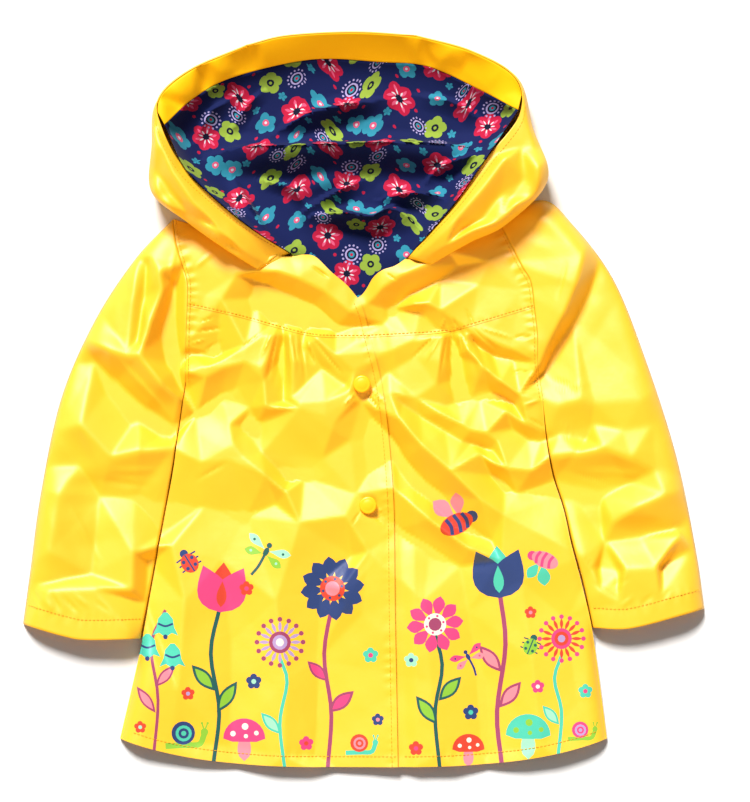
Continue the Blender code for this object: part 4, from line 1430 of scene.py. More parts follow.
def dragonfly(d: Design, x: float, y: float, size: float, turn: float,
              wing: Enum, hind: Enum, body: Enum) -> None:
    """Add a dragonfly.

    Args:
        d: Print that it goes on.
        x, y: Root of its wings.
        size: Its span.
        turn: Where it heads, in degrees from +X.
        wing, hind, body: Its colours.
    """
    at = Stance(x, y, size, turn).at
    for side in (-1, 1):
        d.lens(wing, at(0.04, 0), at(0.2, 0.5 * side), size * 0.19, 0.68)
        d.lens(hind, at(-0.03, 0), at(-0.14, 0.44 * side), size * 0.19, 0.68)
        d.disc(body, *at(0.14, 0.34 * side), size * 0.06)
        d.disc(wing, *at(-0.1, 0.3 * side), size * 0.06)
    d.line(body, (at(-0.55, 0.05), at(-0.3, 0.0), at(0.1, 0)), size * 0.06)
    d.disc(body, *at(0.02, 0), size * 0.2, size * 0.12, turn)
    d.disc(body, *at(0.17, 0), size * 0.12)


def snail(d: Design, x: float, y: float, size: float, shell: Enum, coil: Enum, body: Enum) -> None:
    """Add a snail.

    Args:
        d: Print that it goes on.
        x, y: Middle of its foot.
        size: Its length.
        shell, coil, body: Its colours.
    """
    at = Stance(x, y, size, 0.0).at
    d.line(body, (at(-0.5, 0), at(0, 0.02), at(0.34, 0.04), at(0.46, 0.3)), size * 0.15)
    d.disc(body, *at(0.46, 0.34), size * 0.2)
    for horn in (0.4, 0.54):
        d.line(body, (at(0.46, 0.36), at(horn, 0.56)), size * 0.04)
        d.disc(body, *at(horn, 0.56), size * 0.07)
    d.disc(shell, *at(-0.06, 0.32), size * 0.58)
    for wide, tint in ((0.4, coil), (0.26, shell), (0.13, coil)):
        d.disc(tint, *at(-0.05, 0.31), size * wide)


def star_flower(d: Design, x: float, y: float, size: float, petal: Enum, eye: Enum) -> None:
    """Add a small five-petalled flower.

    Args:
        d: Print that it goes on.
        x, y: Its middle.
        size: Its width.
        petal, eye: Its colours.
    """
    d.spots(petal, x, y, size * 0.27, 5, size * 0.42, turn=20)
    d.disc(eye, x, y, size * 0.3)


def leafy_stem(d: Design, points: Points, wide: float, stalk: Enum, leaf: Enum, leaves: Points) -> None:
    """Add a stem with leaves.

    Args:
        d: Print that it goes on.
        points: Points of the stem from its foot up.
        wide: Its width.
        stalk, leaf: Its colours.
        leaves: Rows of from x, from y, to x, to y and width.
    """
    inset = 0.14
    d.line(stalk, points, wide)
    for ax, ay, bx, by, broad in leaves:
        dx, dy = (bx - ax) * inset, (by - ay) * inset
        d.lens(stalk, (ax, ay), (bx, by), broad)
        d.lens(leaf, (ax + dx, ay + dy), (bx - dx, by - dy), broad * 0.66)


def hem_design() -> Design:
    """A garden of this model's own: tulips, daisies, bells, seed heads, toadstools and crawlers.

    Returns:
        The print of both fronts.
    """
    d = Design()
    # left front of the picture: stems first, then what stands before them
    leafy_stem(d, ((-176, -300), (-172, -250), (-178, -205), (-166, -176)), 2.6, Ink.PURPLE, Ink.ROSE,
               ((-174, -262, -190, -240, 9), (-174, -240, -158, -222, 9)))
    for x, y in ((-166, -178), (-181, -196), (-160, -204)):
        bellflower(d, x, y, 21, Ink.AQUA, Ink.NAVY)
    leafy_stem(d, ((-126, -306), (-121, -260), (-128, -212), (-120, -172)), 3.4, Ink.TEAL, Ink.LIME,
               ((-123, -262, -106, -236, 12), (-124, -244, -144, -222, 12)))
    tulip(d, -120, -178, 42, Ink.PINK, Ink.RED, 4)
    leafy_stem(d, ((-66, -309), (-70, -270), (-64, -236), (-70, -216)), 3.0, Ink.AQUA, Ink.MINT,
               ((-69, -280, -86, -262, 10),))
    globe(d, -70, -203, 42, Ink.LILAC, Ink.PURPLE, Ink.WHITE)
    leafy_stem(d, ((-30, -309), (-27, -262), (-33, -214), (-26, -170)), 3.4, Ink.PURPLE, Ink.PINK,
               ((-29, -262, -8, -244, 12), (-30, -236, -47, -219, 10)))
    daisy(d, -26, -158, 27, Ink.NAVY, Ink.RED, Ink.ROSE)
    dragonfly(d, -82, -128, 40, 62, Ink.MINT, Ink.LIME, Ink.TEAL)
    ladybird(d, -146, -136, 20, Ink.RED, Ink.NAVY, 122)
    toadstool(d, -100, -301, 34, Ink.PINK, Ink.WHITE, Ink.ROSE)
    snail(d, -149, -290, 34, Ink.NAVY, Ink.AQUA, Ink.LIME)
    snail(d, -2, -296, 26, Ink.RED, Ink.ROSE, Ink.AQUA)
    for x, y, size, petal, eye in (
        (-98, -158, 13, Ink.RED, Ink.PINK),
        (-92, -236, 14, Ink.NAVY, Ink.MINT),
        (6, -214, 14, Ink.AQUA, Ink.PINK),
        (-147, -246, 12, Ink.RED, Ink.LILAC),
        (-48, -288, 13, Ink.PINK, Ink.RED),
        (12, -268, 11, Ink.NAVY, Ink.ROSE),
        (-187, -274, 11, Ink.RED, Ink.MINT),
    ):
        star_flower(d, x, y, size, petal, eye)
    # right front of the picture
    leafy_stem(d, ((64, -309), (60, -262), (66, -224), (60, -196)), 3.2, Ink.TEAL, Ink.LIME,
               ((62, -272, 44, -248, 12), (63, -252, 82, -232, 12)))
    daisy(d, 60, -188, 24, Ink.PINK, Ink.WHITE, Ink.PURPLE, 10)
    leafy_stem(d, ((116, -306), (112, -262), (119, -205), (114, -160)), 3.8, Ink.PURPLE, Ink.ROSE,
               ((114, -258, 132, -236, 12), (116, -228, 97, -206, 12)))
    tulip(d, 114, -166, 44, Ink.NAVY, Ink.AQUA, -3)
    leafy_stem(d, ((163, -299), (166, -262), (160, -234), (166, -214)), 3.0, Ink.AQUA, Ink.MINT,
               ((164, -272, 150, -256, 9),))
    globe(d, 166, -200, 40, Ink.RED, Ink.PINK, Ink.LILAC)
    bee(d, 78, -104, 34, 24, Ink.RED, Ink.NAVY, Ink.ROSE)
    bee(d, 152, -134, 27, 158, Ink.ROSE, Ink.PINK, Ink.AQUA)
    dragonfly(d, 88, -216, 30, 118, Ink.PINK, Ink.ROSE, Ink.NAVY)
    ladybird(d, 140, -206, 17, Ink.LIME, Ink.TEAL, 68)
    toadstool(d, 138, -299, 36, Ink.AQUA, Ink.LIME, Ink.MINT)
    toadstool(d, 88, -306, 26, Ink.RED, Ink.WHITE, Ink.ROSE)
    snail(d, 183, -284, 24, Ink.PINK, Ink.LILAC, Ink.LIME)
    for x, y, size, petal, eye in (
        (40, -218, 13, Ink.MINT, Ink.NAVY),
        (44, -292, 13, Ink.RED, Ink.PINK),
        (90, -262, 14, Ink.NAVY, Ink.AQUA),
        (140, -178, 11, Ink.RED, Ink.ROSE),
        (146, -240, 12, Ink.PINK, Ink.WHITE),
        (186, -244, 13, Ink.AQUA, Ink.PINK),
    ):
        star_flower(d, x, y, size, petal, eye)
    return d


class Bloom(Enum):
    """Kinds of figure in the lining's repeat."""

    CRIMSON = "six-petalled flower"
    LIME = "green flower"
    AQUA = "blue flower"
    RING = "ring of dots"
    STAR = "small star"
    DOT = "dot"


# One repeat of the lining: x, y, size and turn of each figure
LINING_TILE = {
    Bloom.CRIMSON: (
        (14, 88, 26, 10), (62, 70, 27, 40), (104, 98, 24, 20), (30, 34, 27, 55), (88, 26, 26, 5),
    ),
    Bloom.LIME: (
        (40, 96, 20, 12), (92, 58, 20, 33), (6, 54, 19, 50), (60, 14, 20, 0), (112, 40, 17, 22),
    ),
    Bloom.AQUA: (
        (82, 88, 19, 5), (36, 62, 18, 28), (8, 14, 19, 44), (112, 72, 18, 60), (62, 40, 16, 10),
    ),
    Bloom.RING: (
        (62, 98, 16, 0), (12, 70, 15, 0), (84, 44, 14, 0), (46, 16, 14, 0), (108, 10, 17, 0),
    ),
    Bloom.STAR: (
        (50, 84, 8, 0), (96, 74, 8, 30), (20, 20, 8, 10), (72, 54, 7, 50), (74, 8, 8, 20),
        (28, 76, 7, 10),
    ),
    Bloom.DOT: (
        (28, 52, 3, 0), (46, 46, 3, 0), (76, 78, 3, 0), (98, 84, 3, 0), (0, 36, 3, 0), (74, 34, 3, 0),
        (104, 54, 3, 0), (26, 8, 3, 0), (0, 98, 3, 0), (44, 28, 3, 0), (94, 10, 3, 0), (22, 102, 3, 0),
    ),
}
TILE_WIDE, TILE_TALL, TILE_DROP = 118.0, 104.0, 60.0


def bloom(d: Design, kind: Bloom, x: float, y: float, size: float, turn: float) -> None:
    """Add one figure of the lining's repeat.

    Args:
        d: Print that it goes on.
        kind: Which figure.
        x, y: Its middle.
        size: Its width.
        turn: Its turn in degrees.
    """
    if kind is Bloom.CRIMSON:
        d.spots(Dye.CRIMSON, x, y, size * 0.29, 6, size * 0.42, size * 0.40, turn)
        d.petals(Dye.ROSE, x, y, size * 0.40, 6, size * 0.09, turn, size * 0.12, 0.6)
        d.disc(Dye.INKY, x, y, size * 0.24)
        d.petals(Dye.WHITE, x, y, size * 0.27, 8, size * 0.05, turn + 12, size * 0.10, 0.5)
    elif kind in (Bloom.LIME, Bloom.AQUA):
        petal, eye = (Dye.LIME, Dye.INKY) if kind is Bloom.LIME else (Dye.AQUA, Dye.ROSE)
        d.spots(petal, x, y, size * 0.28, 5, size * 0.44, turn=turn)
        d.disc(eye, x, y, size * 0.32)
        d.disc(Dye.WHITE if kind is Bloom.AQUA else Dye.LIME, x, y, size * 0.14)
    elif kind is Bloom.RING:
        d.spots(Dye.LILAC, x, y, size * 0.46, 14, size * 0.11)
        d.disc(Dye.LILAC, x, y, size * 0.66)
        d.disc(Dye.INKY, x, y, size * 0.5)
        d.disc(Dye.AQUA, x, y, size * 0.32)
        d.disc(Dye.CRIMSON, x, y, size * 0.15)
    elif kind is Bloom.STAR:
        d.petals(Dye.AQUA, x, y, size * 0.5, 5, size * 0.34, turn, 0.0, 0.6)
    else:
        d.disc(Dye.CRIMSON, x, y, size)


def lining_design() -> Design:
    """The lining's small floral repeat.

    Returns:
        The print of the lining.
    """
    d = Design()
    for column, row in product(range(-2, 2), range(-1, 3)):
        right, up = column * TILE_WIDE, (row + column % 2 / 2) * TILE_TALL - TILE_DROP
        for kind, figures in LINING_TILE.items():
            for x, y, size, turn in figures:
                bloom(d, kind, x + right, y + up, size, turn)
    return d


# ---------------------------------------------------------------------------------------------
# Meshes
# ---------------------------------------------------------------------------------------------


def make_object(name: str, verts: np.ndarray, faces: Sequence[Sequence[int]],
                finishes: Sequence[Finish]) -> bpy.types.Object:
    """An object from points in millimetres.

    Args:
        name: Name of the object.
        verts: Its points.
        faces: Its faces.
        finishes: Finishes of its material slots.

    Returns:
        The object, linked to the scene and shaded smooth.
    """
    mesh = bpy.data.meshes.new(name)
    mesh.from_pydata((np.asarray(verts) * MM).tolist(), [], faces)
    for finish in finishes:
        mesh.materials.append(finish.material())
    mesh.validate()
    mesh.shade_smooth()
    piece = bpy.data.objects.new(name, mesh)
    bpy.context.scene.collection.objects.link(piece)
    return piece


def grid_faces(rows: int, columns: int) -> np.ndarray:
    """Faces of a grid of points.

    Args:
        rows, columns: Numbers of points.

    Returns:
        Four point numbers a face.
    """
    at = np.arange(rows * columns).reshape(rows, columns)
    return np.stack([at[:-1, :-1], at[1:, :-1], at[1:, 1:], at[:-1, 1:]], axis=-1).reshape(-1, 4)


def ring(grid: np.ndarray) -> np.ndarray:
    """What stands round the edge of a grid, in order.

    Args:
        grid: Grid of points or of point numbers.

    Returns:
        Its outline.
    """
    return np.concatenate([grid[0], grid[1:-1, -1], grid[-1][::-1], grid[-2:0:-1, 0]])


def band(first: int, second: int, count: int) -> list[tuple[int, ...]]:
    """Faces between two closed rings of points.

    Args:
        first, second: Numbers of the rings' first points.
        count: Points in a ring.

    Returns:
        Four point numbers a face.
    """
    nexts = [(k + 1) % count for k in range(count)]
    return [(first + k, first + n, second + n, second + k) for k, n in enumerate(nexts)]


def upright_wall(grid: np.ndarray) -> np.ndarray:
    """How thick the wall over a grid of points in space measures straight up.

    Args:
        grid: Points of its under face.

    Returns:
        Thickness at each point.
    """
    normal = np.cross(np.gradient(grid, axis=0), np.gradient(grid, axis=1))
    level = np.abs(normal[..., 2]) / np.linalg.norm(normal, axis=-1)
    return WALL * np.minimum(1 / np.maximum(level, 0.1), THICKEST)


def turn_out(piece: bpy.types.Object) -> None:
    """Make the faces of a piece look outward.

    Args:
        piece: The piece.
    """
    bm = bmesh.new()
    bm.from_mesh(piece.data)
    bmesh.ops.recalc_face_normals(bm, faces=bm.faces[:])
    bm.to_mesh(piece.data)
    bm.free()


@dataclass
class HeightCloth:
    """A panel of cloth that is one height at each place.

    Attributes:
        name: Name of the piece.
        grid: Flat grid of its points.
        height: Height of its under face.
        finish: Its plain finish.
        design: Print on it, if any.
        unrolled: Pair of functions that lay places out flat for the print and take them back.
    """

    name: str
    grid: np.ndarray
    height: Height
    finish: Finish = YELLOW
    design: Design | None = None
    unrolled: tuple[Height, Height] | None = None

    def cut(self) -> tuple[np.ndarray, np.ndarray, list[Finish], np.ndarray]:
        """Points and faces of the panel, with the print's outlines cut into it.

        Returns:
            Flat points, faces, finishes, and the finish number of each face.
        """
        if self.design is None:
            rows, columns = self.grid.shape[:2]
            faces = grid_faces(rows, columns)
            return self.grid.reshape(-1, 2), faces, [self.finish], np.zeros(len(faces), int)
        lay, take = self.unrolled or (lambda x, y: y, lambda x, s: s)
        flat = np.dstack([self.grid[..., 0], lay(self.grid[..., 0], self.grid[..., 1])])
        border = ring(flat)
        low, high = border.min(0), border.max(0)
        shapes = [
            (finish, outline)
            for finish, outline in self.design.outlines
            if (outline.max(0) > low).all() and (outline.min(0) < high).all()
        ]
        loose = flat[1:-1, 1:-1].reshape(-1, 2)
        coords, polygons = [], []
        for outline in (border, *[p for _, p in shapes]):
            x, y = outline[:, 0], outline[:, 1]
            if (x * np.roll(y, -1) - y * np.roll(x, -1)).sum() < 0:
                outline = outline[::-1]
            polygons.append(list(range(len(coords), len(coords) + len(outline))))
            coords.extend(map(tuple, outline))
        coords.extend(map(tuple, loose))
        points, _, faces, _, _, origins = delaunay_2d_cdt(coords, [], polygons, 0, 1e-4, True)
        kept = [(f, max(o)) for f, o in zip(faces, origins) if 0 in o]
        finishes = [self.finish, *dict.fromkeys(f for f, _ in shapes)]
        marks = np.array([0 if top == 0 else finishes.index(shapes[top - 1][0]) for _, top in kept])
        points = np.array([tuple(p) for p in points])
        points[:, 1] = take(points[:, 0], points[:, 1])
        faces = np.array([f for f, _ in kept])
        used, numbers = np.unique(faces, return_inverse=True)
        return points[used], numbers.reshape(faces.shape), finishes, marks

    def build(self) -> bpy.types.Object:
        """The panel as a closed thin shell.

        Returns:
            The finished piece.
        """
        flat, faces, finishes, marks = self.cut()
        x, y = flat[:, 0], flat[:, 1]
        under = self.height(x, y)
        step = 0.8
        slope_x = (self.height(x + step, y) - self.height(x - step, y)) / (2 * step)
        slope_y = (self.height(x, y + step) - self.height(x, y - step)) / (2 * step)
        steep = np.sqrt(1 + slope_x**2 + slope_y**2)
        over = under + WALL * np.minimum(steep, THICKEST)
        normals = np.column_stack([-slope_x, -slope_y, np.ones_like(x)]) / steep[:, None]
        count = len(flat)
        corners = flat[faces[0]]
        turn = np.cross(corners[1] - corners[0], corners[2] - corners[1])
        faces = faces if turn > 0 else faces[:, ::-1]
        edges = np.stack([faces, np.roll(faces, -1, axis=1)], axis=-1).reshape(-1, 2)
        known = {(a, b) for a, b in edges.tolist()}
        rim = [(b, a, a + count, b + count) for a, b in edges.tolist() if (b, a) not in known]
        verts = np.vstack([np.column_stack([flat, over]), np.column_stack([flat, under])])
        polygons = [*faces.tolist(), *(faces[:, ::-1] + count).tolist(), *rim]
        piece = make_object(self.name, verts, polygons, finishes)
        marks = np.concatenate([marks, marks, np.zeros(len(rim), int)])
        piece.data.polygons.foreach_set("material_index", marks)
        piece.data.normals_split_custom_set_from_vertices(np.vstack([normals, -normals]).tolist())
        LOG.info("%s: %d faces", self.name, len(polygons))
        return piece


@dataclass
class Part:
    """One piece of the coat on its CAD node.

    Attributes:
        node: CAD node that it stands for.
        slot: Material slot of the record; not used.
        flat: Width and length of its cut, in metres; not used.
        area: Flat area of its cut, in square metres.
        rests_on: What it lies on.
    """

    node: str
    slot: str
    flat: tuple[float, float] = (0.1, 0.1)
    area: float = 0.01
    rests_on: tuple[str, ...] = ()

    def seat(self, piece: bpy.types.Object, cloth: bool = True) -> bpy.types.Object:
        """Put a piece in the place of its CAD node.

        Args:
            piece: The piece that shows.
            cloth: Whether it is a sheet of cloth.

        Returns:
            The same piece.
        """
        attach(piece, "root")
        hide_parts(self.node)
        half = sum(p.area for p in piece.data.polygons) / (1 if piece.modifiers else 2)
        LOG.info("area of %s %.4f of %.4f", self.node, half, self.area)
        if cloth:
            list(self.rests_on)
        return piece


def grid_cloth(name: str, grid: np.ndarray, finish: Finish) -> bpy.types.Object:
    """A closed thin shell over a grid of points in space, thickened straight up.

    Args:
        name: Name of the piece.
        grid: Points of its under face.
        finish: Its finish.

    Returns:
        The finished piece.
    """
    rows, columns = grid.shape[:2]
    count = rows * columns
    over = grid.copy()
    over[..., 2] += upright_wall(grid)
    faces = grid_faces(rows, columns)
    edge = ring(np.arange(count).reshape(rows, columns)).tolist()
    rim = [(a, b, b + count, a + count) for a, b in zip(edge, edge[1:] + edge[:1])]
    verts = np.vstack([over.reshape(-1, 3), grid.reshape(-1, 3)])
    piece = make_object(name, verts, [*faces.tolist(), *(faces[:, ::-1] + count).tolist(), *rim], [finish])
    turn_out(piece)
    return piece


# ---------------------------------------------------------------------------------------------
# Pieces
# ---------------------------------------------------------------------------------------------


def armhole(side: str, upper: int, lower: int) -> np.ndarray:
    """The whole armhole seam, from the shoulder to the underarm.

    Args:
        side: Which side of the photo.
        upper, lower: Numbers of steps along the yoke and the front.

    Returns:
        Points of the seam.
    """
    return joined(spline(ARMHOLE_UPPER[side], upper + 1), spline(ARMHOLE_LOWER[side], lower + 1))


def hem(start: float, end: float, count: int) -> np.ndarray:
    """The hem between two places, in the sag that it has as it lies.

    Args:
        start, end: Where it starts and ends.
        count: Number of points.

    Returns:
        Points of the hem.
    """
    x = np.linspace(start, end, count)
    return np.column_stack([x, HEM_CORNER - HEM_SAG * (1 - np.abs(x / HEM_HALF) ** 3.2)])


@dataclass
class Fronts:
    """Both fronts, their yokes and the back.

    Attributes:
        columns: Steps across a panel.
        yoke_rows, arm_rows, side_rows: Steps down a yoke, a lower armhole and a side seam.
    """

    columns: int = 104
    yoke_rows: int = 44
    arm_rows: int = 32
    side_rows: int = 122

    def yoke(self, side: str) -> bpy.types.Object:
        """The yoke of one front.

        Args:
            side: Which side of the photo.

        Returns:
            The piece.
        """
        grid = between(
            spline(YOKE_TOP[side], self.columns + 1),
            spline(YOKE_SEAM[side], self.columns + 1),
            spline(ARMHOLE_UPPER[side], self.yoke_rows + 1),
            spline(YOKE_EDGE[side], self.yoke_rows + 1),
        )
        piece = HeightCloth(f"yoke_cloth_{side}", drawn_in(grid), FORM.front(side)).build()
        part = Part(f"yoke_{side}", "yellow_cloth", flat=(0.176, 0.085), area=0.0112, rests_on=("back",))
        return part.seat(piece)

    def front(self, side: str, design: Design) -> bpy.types.Object:
        """One front below its yoke, printed toward the hem.

        Args:
            side: Which side of the photo.
            design: Print of the hem.

        Returns:
            The piece.
        """
        arm = spline(ARMHOLE_LOWER[side], self.arm_rows + 1)
        outer = joined(arm, spline(SIDE_SEAM[side], self.side_rows + 1))
        inner = spline(FRONT_EDGE[side], len(outer))
        low = hem(outer[-1, 0], inner[-1, 0], self.columns + 1)
        outer[-1], inner[-1] = low[0], low[-1]
        grid = between(spline(YOKE_SEAM[side], self.columns + 1), low, outer, inner)
        cloth = HeightCloth(f"front_cloth_{side}", drawn_in(grid), FORM.front(side), design=design)
        part = Part(f"front_{side}", "hem_print_cloth", flat=(0.236, 0.372), area=0.0755, rests_on=("back",))
        return part.seat(cloth.build())

    def back(self) -> bpy.types.Object:
        """The back, flat on the floor.

        Returns:
            The piece.
        """
        columns, rows = 60, 30
        left, right = [joined(armhole(side, 12, 8), spline(SIDE_SEAM[side], rows + 1)) for side in SIDES]
        low = hem(-HEM_HALF, HEM_HALF, columns + 1)
        left[-1], right[-1] = low[0], low[-1]
        grid = drawn_in(between(spline(SHOULDERS, columns + 1), low, left, right))
        piece = HeightCloth("back_cloth", grid, FORM.flat).build()
        return Part("back", "yellow_cloth", flat=(0.41, 0.45), area=0.145).seat(piece)


@dataclass
class Sleeves:
    """Both sleeves, each a tube laid flat.

    Attributes:
        rows: Steps from the armhole to the cuff.
        upper, lower: Steps across the yoke's and the front's part of the armhole.
    """

    rows: int = 150
    upper: int = 34
    lower: int = 26

    def sleeve(self, side: str) -> bpy.types.Object:
        """One sleeve.

        Args:
            side: Which side of the photo.

        Returns:
            The piece.
        """
        arm = armhole(side, self.upper, self.lower)
        columns = len(arm)
        outer, inner = spline(SLEEVE_OUTER[side], self.rows + 1), spline(SLEEVE_INNER[side], self.rows + 1)
        grid = drawn_in(between(arm, spline(CUFF[side], columns), outer, inner))
        top = np.dstack([grid, FORM.upper(grid[..., 0], grid[..., 1])])
        thick = upright_wall(top)
        picks = list(range(columns - 1, 0, -5))[1:]
        fold = WALL + GAP / 2
        across = grid[:, -1] - grid[:, 0]
        inward = across * (WALL / np.linalg.norm(across, axis=-1, keepdims=True))
        outside, inside = [], []
        for r in range(self.rows + 1):
            a, b = grid[r, 0], grid[r, -1]
            low = np.column_stack([grid[r, picks], np.zeros(len(picks))])
            high = np.column_stack([grid[r, 1:-1], top[r, 1:-1, 2] + thick[r, 1:-1]])
            outside.append(np.vstack([(*a, fold), high, (*b, fold), low]))
            a, b = a + inward[r], b - inward[r]
            inside.append(np.vstack([(*a, fold), top[r, 1:-1], (*b, fold), low + (0, 0, WALL)]))
        around = len(outside[0])
        count = around * (self.rows + 1)
        faces = []
        for r in range(self.rows):
            quads = band(r * around, (r + 1) * around, around)
            faces += quads + [tuple(count + q for q in quad[::-1]) for quad in quads]
        for r in (0, self.rows):
            faces += band(r * around, count + r * around, around)
        piece = make_object(f"sleeve_cloth_{side}", np.vstack([*outside, *inside]), faces, [YELLOW])
        turn_out(piece)
        part = Part(f"sleeve_{side}", "yellow_cloth", flat=(0.29, 0.35), area=0.072, rests_on=("back",))
        return part.seat(piece)


@dataclass
class Hood:
    """The hood's outer pieces, its turned-in edge and its lining.

    Attributes:
        rows: Steps along a side from the neck to the crown.
        columns: Steps from the rim to the centre seam.
        tucked: How far in from its outer fold the cloth meets the floor.
        flattened: Width from rim to fold under which a side stands lower.
        crumple, edge_crumple: Scales of the creases in the sides and in the turned-in edge.
        rim_inset, rim_drop: How far the turned-in edge starts inside and below the rim.
        edge_lines: Where its edge is stitched.
    """

    rows: int = 100
    columns: int = 72
    tucked: float = 14.0
    flattened: float = 24.0
    crumple: float = 1.7
    edge_crumple: float = 1.5
    rim_inset: float = 1.7
    rim_drop: float = 0.4
    edge_lines: list[np.ndarray] = field(default_factory=list)

    def side_grid(self, side: str) -> np.ndarray:
        """Outer face of one side.

        Args:
            side: Which side of the photo.

        Returns:
            Grid from the neck to the crown and from the rim to the seam.
        """
        fine = 400
        run = np.linspace(0, 1, self.columns + 1)
        run = run * (0.45 + 0.55 * run)
        grid = []
        for rx, ry, rz, fx, fy, fz, sx, sy in spline(HOOD_SECTIONS[side], self.rows + 1):
            rim, fold, seam = np.array((rx, ry)), np.array((fx, fy)), np.array((sx, sy))
            under = fold + (seam - fold) * min(self.tucked / np.linalg.norm(seam - fold), 0.5)
            level = smooth(np.linalg.norm(fold - rim) / self.flattened)
            near = (*(rim * 0.58 + fold * 0.42), rz - (rz - fz) * 0.05 * (1 - level))
            full = (*(rim * 0.18 + fold * 0.82), rz - (rz - fz) * (0.3 - 0.19 * level))
            low = (*fold, fz + (rz - fz) * 0.4 * level)
            line = spline(((*rim, rz), near, full, low, (*under, 0.0), (*seam, 0.0)), fine + 1)
            at = np.arange(fine + 1)
            grid.append(np.column_stack([np.interp(fine * run, at, line[:, k]) for k in range(3)]))
        grid = np.array(grid)
        creased = self.crumple * HOOD_CRUMPLE(grid[..., 0], grid[..., 1]) * smooth(2.0 - 4.2 * run)
        grid[..., 2] = np.maximum(grid[..., 2] + creased, 0.0)
        return FORM.over_body(grid)

    def shell(self, name: str, grid: np.ndarray) -> bpy.types.Object:
        """An outer piece, thickened inward.

        Args:
            name: Name of the piece.
            grid: Its outer face.

        Returns:
            The piece.
        """
        rows, columns = grid.shape[:2]
        faces = grid_faces(rows, columns)
        piece = make_object(name, grid.reshape(-1, 3), faces.tolist(), [YELLOW])
        turn_out(piece)
        wall = piece.modifiers.new("wall", "SOLIDIFY")
        wall.thickness = WALL * MM
        wall.offset = -1.0
        return piece

    def outer(self) -> np.ndarray:
        """Both sides and the centre piece.

        Returns:
            The rim of the hood where the turned-in edge starts and ends.
        """
        grids = {side: self.side_grid(side) for side in SIDES}
        self.edge_lines = [grid[4 : int(0.6 * self.rows), 5] for grid in grids.values()]
        for side, grid in grids.items():
            piece = self.shell(f"hood_cloth_{side}", drawn_in(grid))
            below = ("back", f"yoke_{side}")
            part = Part(f"hood_side_{side}", "yellow_cloth", flat=(0.26, 0.15), area=0.0275, rests_on=below)
            part.seat(piece)
        seams = {side: joined(grid[-1], grid[::-1, -1]) for side, grid in grids.items()}
        columns = 40
        low = [(x, y, WALL + GAP) for x, y in NECK_LINE]
        neck = spline((seams["left"][-1], *low, seams["right"][-1]), columns + 1)
        centre = between(spline(CROWN, columns + 1), neck, seams["left"], seams["right"])
        piece = self.shell("hood_cloth_centre", FORM.over_body(drawn_in(drawn_in(centre))))
        Part("hood_centre", "yellow_cloth", flat=(0.15, 0.22), area=0.028, rests_on=("back",)).seat(piece)
        first = int(0.62 * self.rows)
        left, right = grids["left"][first:, 0], grids["right"][: first - 1 : -1, 0]
        return np.vstack([left, spline(CROWN, 80)[1:-1], right])

    def facing(self, rim: np.ndarray) -> bpy.types.Object:
        """The turned-in edge between the rim and the lining.

        Args:
            rim: Rim of the hood.

        Returns:
            The piece.
        """
        columns, rows = 180, 18
        inner, outer = spline(FACING_INNER, columns + 1), spline(rim, columns + 1)
        inward = inner[:, :2] - outer[:, :2]
        outer[:, :2] += inward * (self.rim_inset / np.linalg.norm(inward, axis=1, keepdims=True))
        outer[:, 2] -= self.rim_drop
        ends = [spline((outer[k], inner[k]), rows + 1) for k in (0, -1)]
        grid = drawn_in(between(outer, inner, *ends))
        middle = np.sin(np.linspace(0, math.pi, rows + 1))[:, None] ** 0.7
        grid[..., 2] += self.edge_crumple * FACING_CRUMPLE(grid[..., 0], grid[..., 1]) * middle
        below = ("hood_centre",)
        part = Part("hood_facing", "yellow_cloth", flat=(0.36, 0.045), area=0.0095, rests_on=below)
        # The turned-in edge takes the yellow cloth with painted shade.
        return part.seat(grid_cloth("facing_cloth", grid, FACING_PAINTED_SHADE))

    def lining(self, design: Design) -> None:
        """The printed lining of the hood and of the back neck.

        Args:
            design: Its print.
        """
        columns, rows = 124, 70
        grid = between(
            spline(FACING_INNER, columns + 1)[:, :2],
            spline(LINING_HEM, columns + 1),
            spline(joined(np.array(FACING_INNER[:1]), np.array(LINING_LEFT)), rows + 1)[:, :2],
            spline(joined(np.array(FACING_INNER[-1:]), np.array(LINING_RIGHT)), rows + 1)[:, :2],
        )
        unrolled = self.unrolled()
        cloth = HeightCloth("lining_cloth", drawn_in(grid), FORM.lining, NAVY_CLOTH, design, unrolled)
        below = ("hood_centre",)
        part = Part("hood_lining", "printed_lining", flat=(0.30, 0.20), area=0.052, rests_on=below)
        part.seat(cloth.build())
        high, low = spline(LINING_HEM, 45), spline(NECK_HEM, 45)
        grid = between(high, low, spline((high[0], low[0]), 24), spline((high[-1], low[-1]), 24))
        cloth = HeightCloth("neck_cloth", drawn_in(grid), FORM.lining, NAVY_CLOTH, design, unrolled)
        part = Part("neck_lining", "printed_lining", flat=(0.11, 0.06), area=0.0033, rests_on=("back",))
        part.seat(cloth.build())

    def unrolled(self) -> tuple[Height, Height]:
        """How the lining's print runs over its rolls without being stretched.

        Returns:
            Functions from y to the length along the cloth, and back.
        """
        xs, ys = np.arange(-190.0, 151.0, 2.0), np.arange(50.0, 330.0, 1.0)
        x, y = np.meshgrid(xs, ys, indexing="ij")
        slope = np.gradient(FORM.lining(x, y), ys, axis=1)
        steps = np.hypot(1, slope[:, 1:])
        length = np.concatenate([np.zeros((len(xs), 1)), np.cumsum(steps, axis=1)], axis=1)
        neck = 70  # row where the print keeps its place
        length -= length[:, neck : neck + 1]

        def share(at: np.ndarray, stations: np.ndarray) -> tuple[np.ndarray, np.ndarray]:
            """The even station before each place, and the share of the way to the next."""
            at = np.clip((at - stations[0]) / (stations[1] - stations[0]), 0, len(stations) - 1.001)
            return at.astype(int), at - at.astype(int)

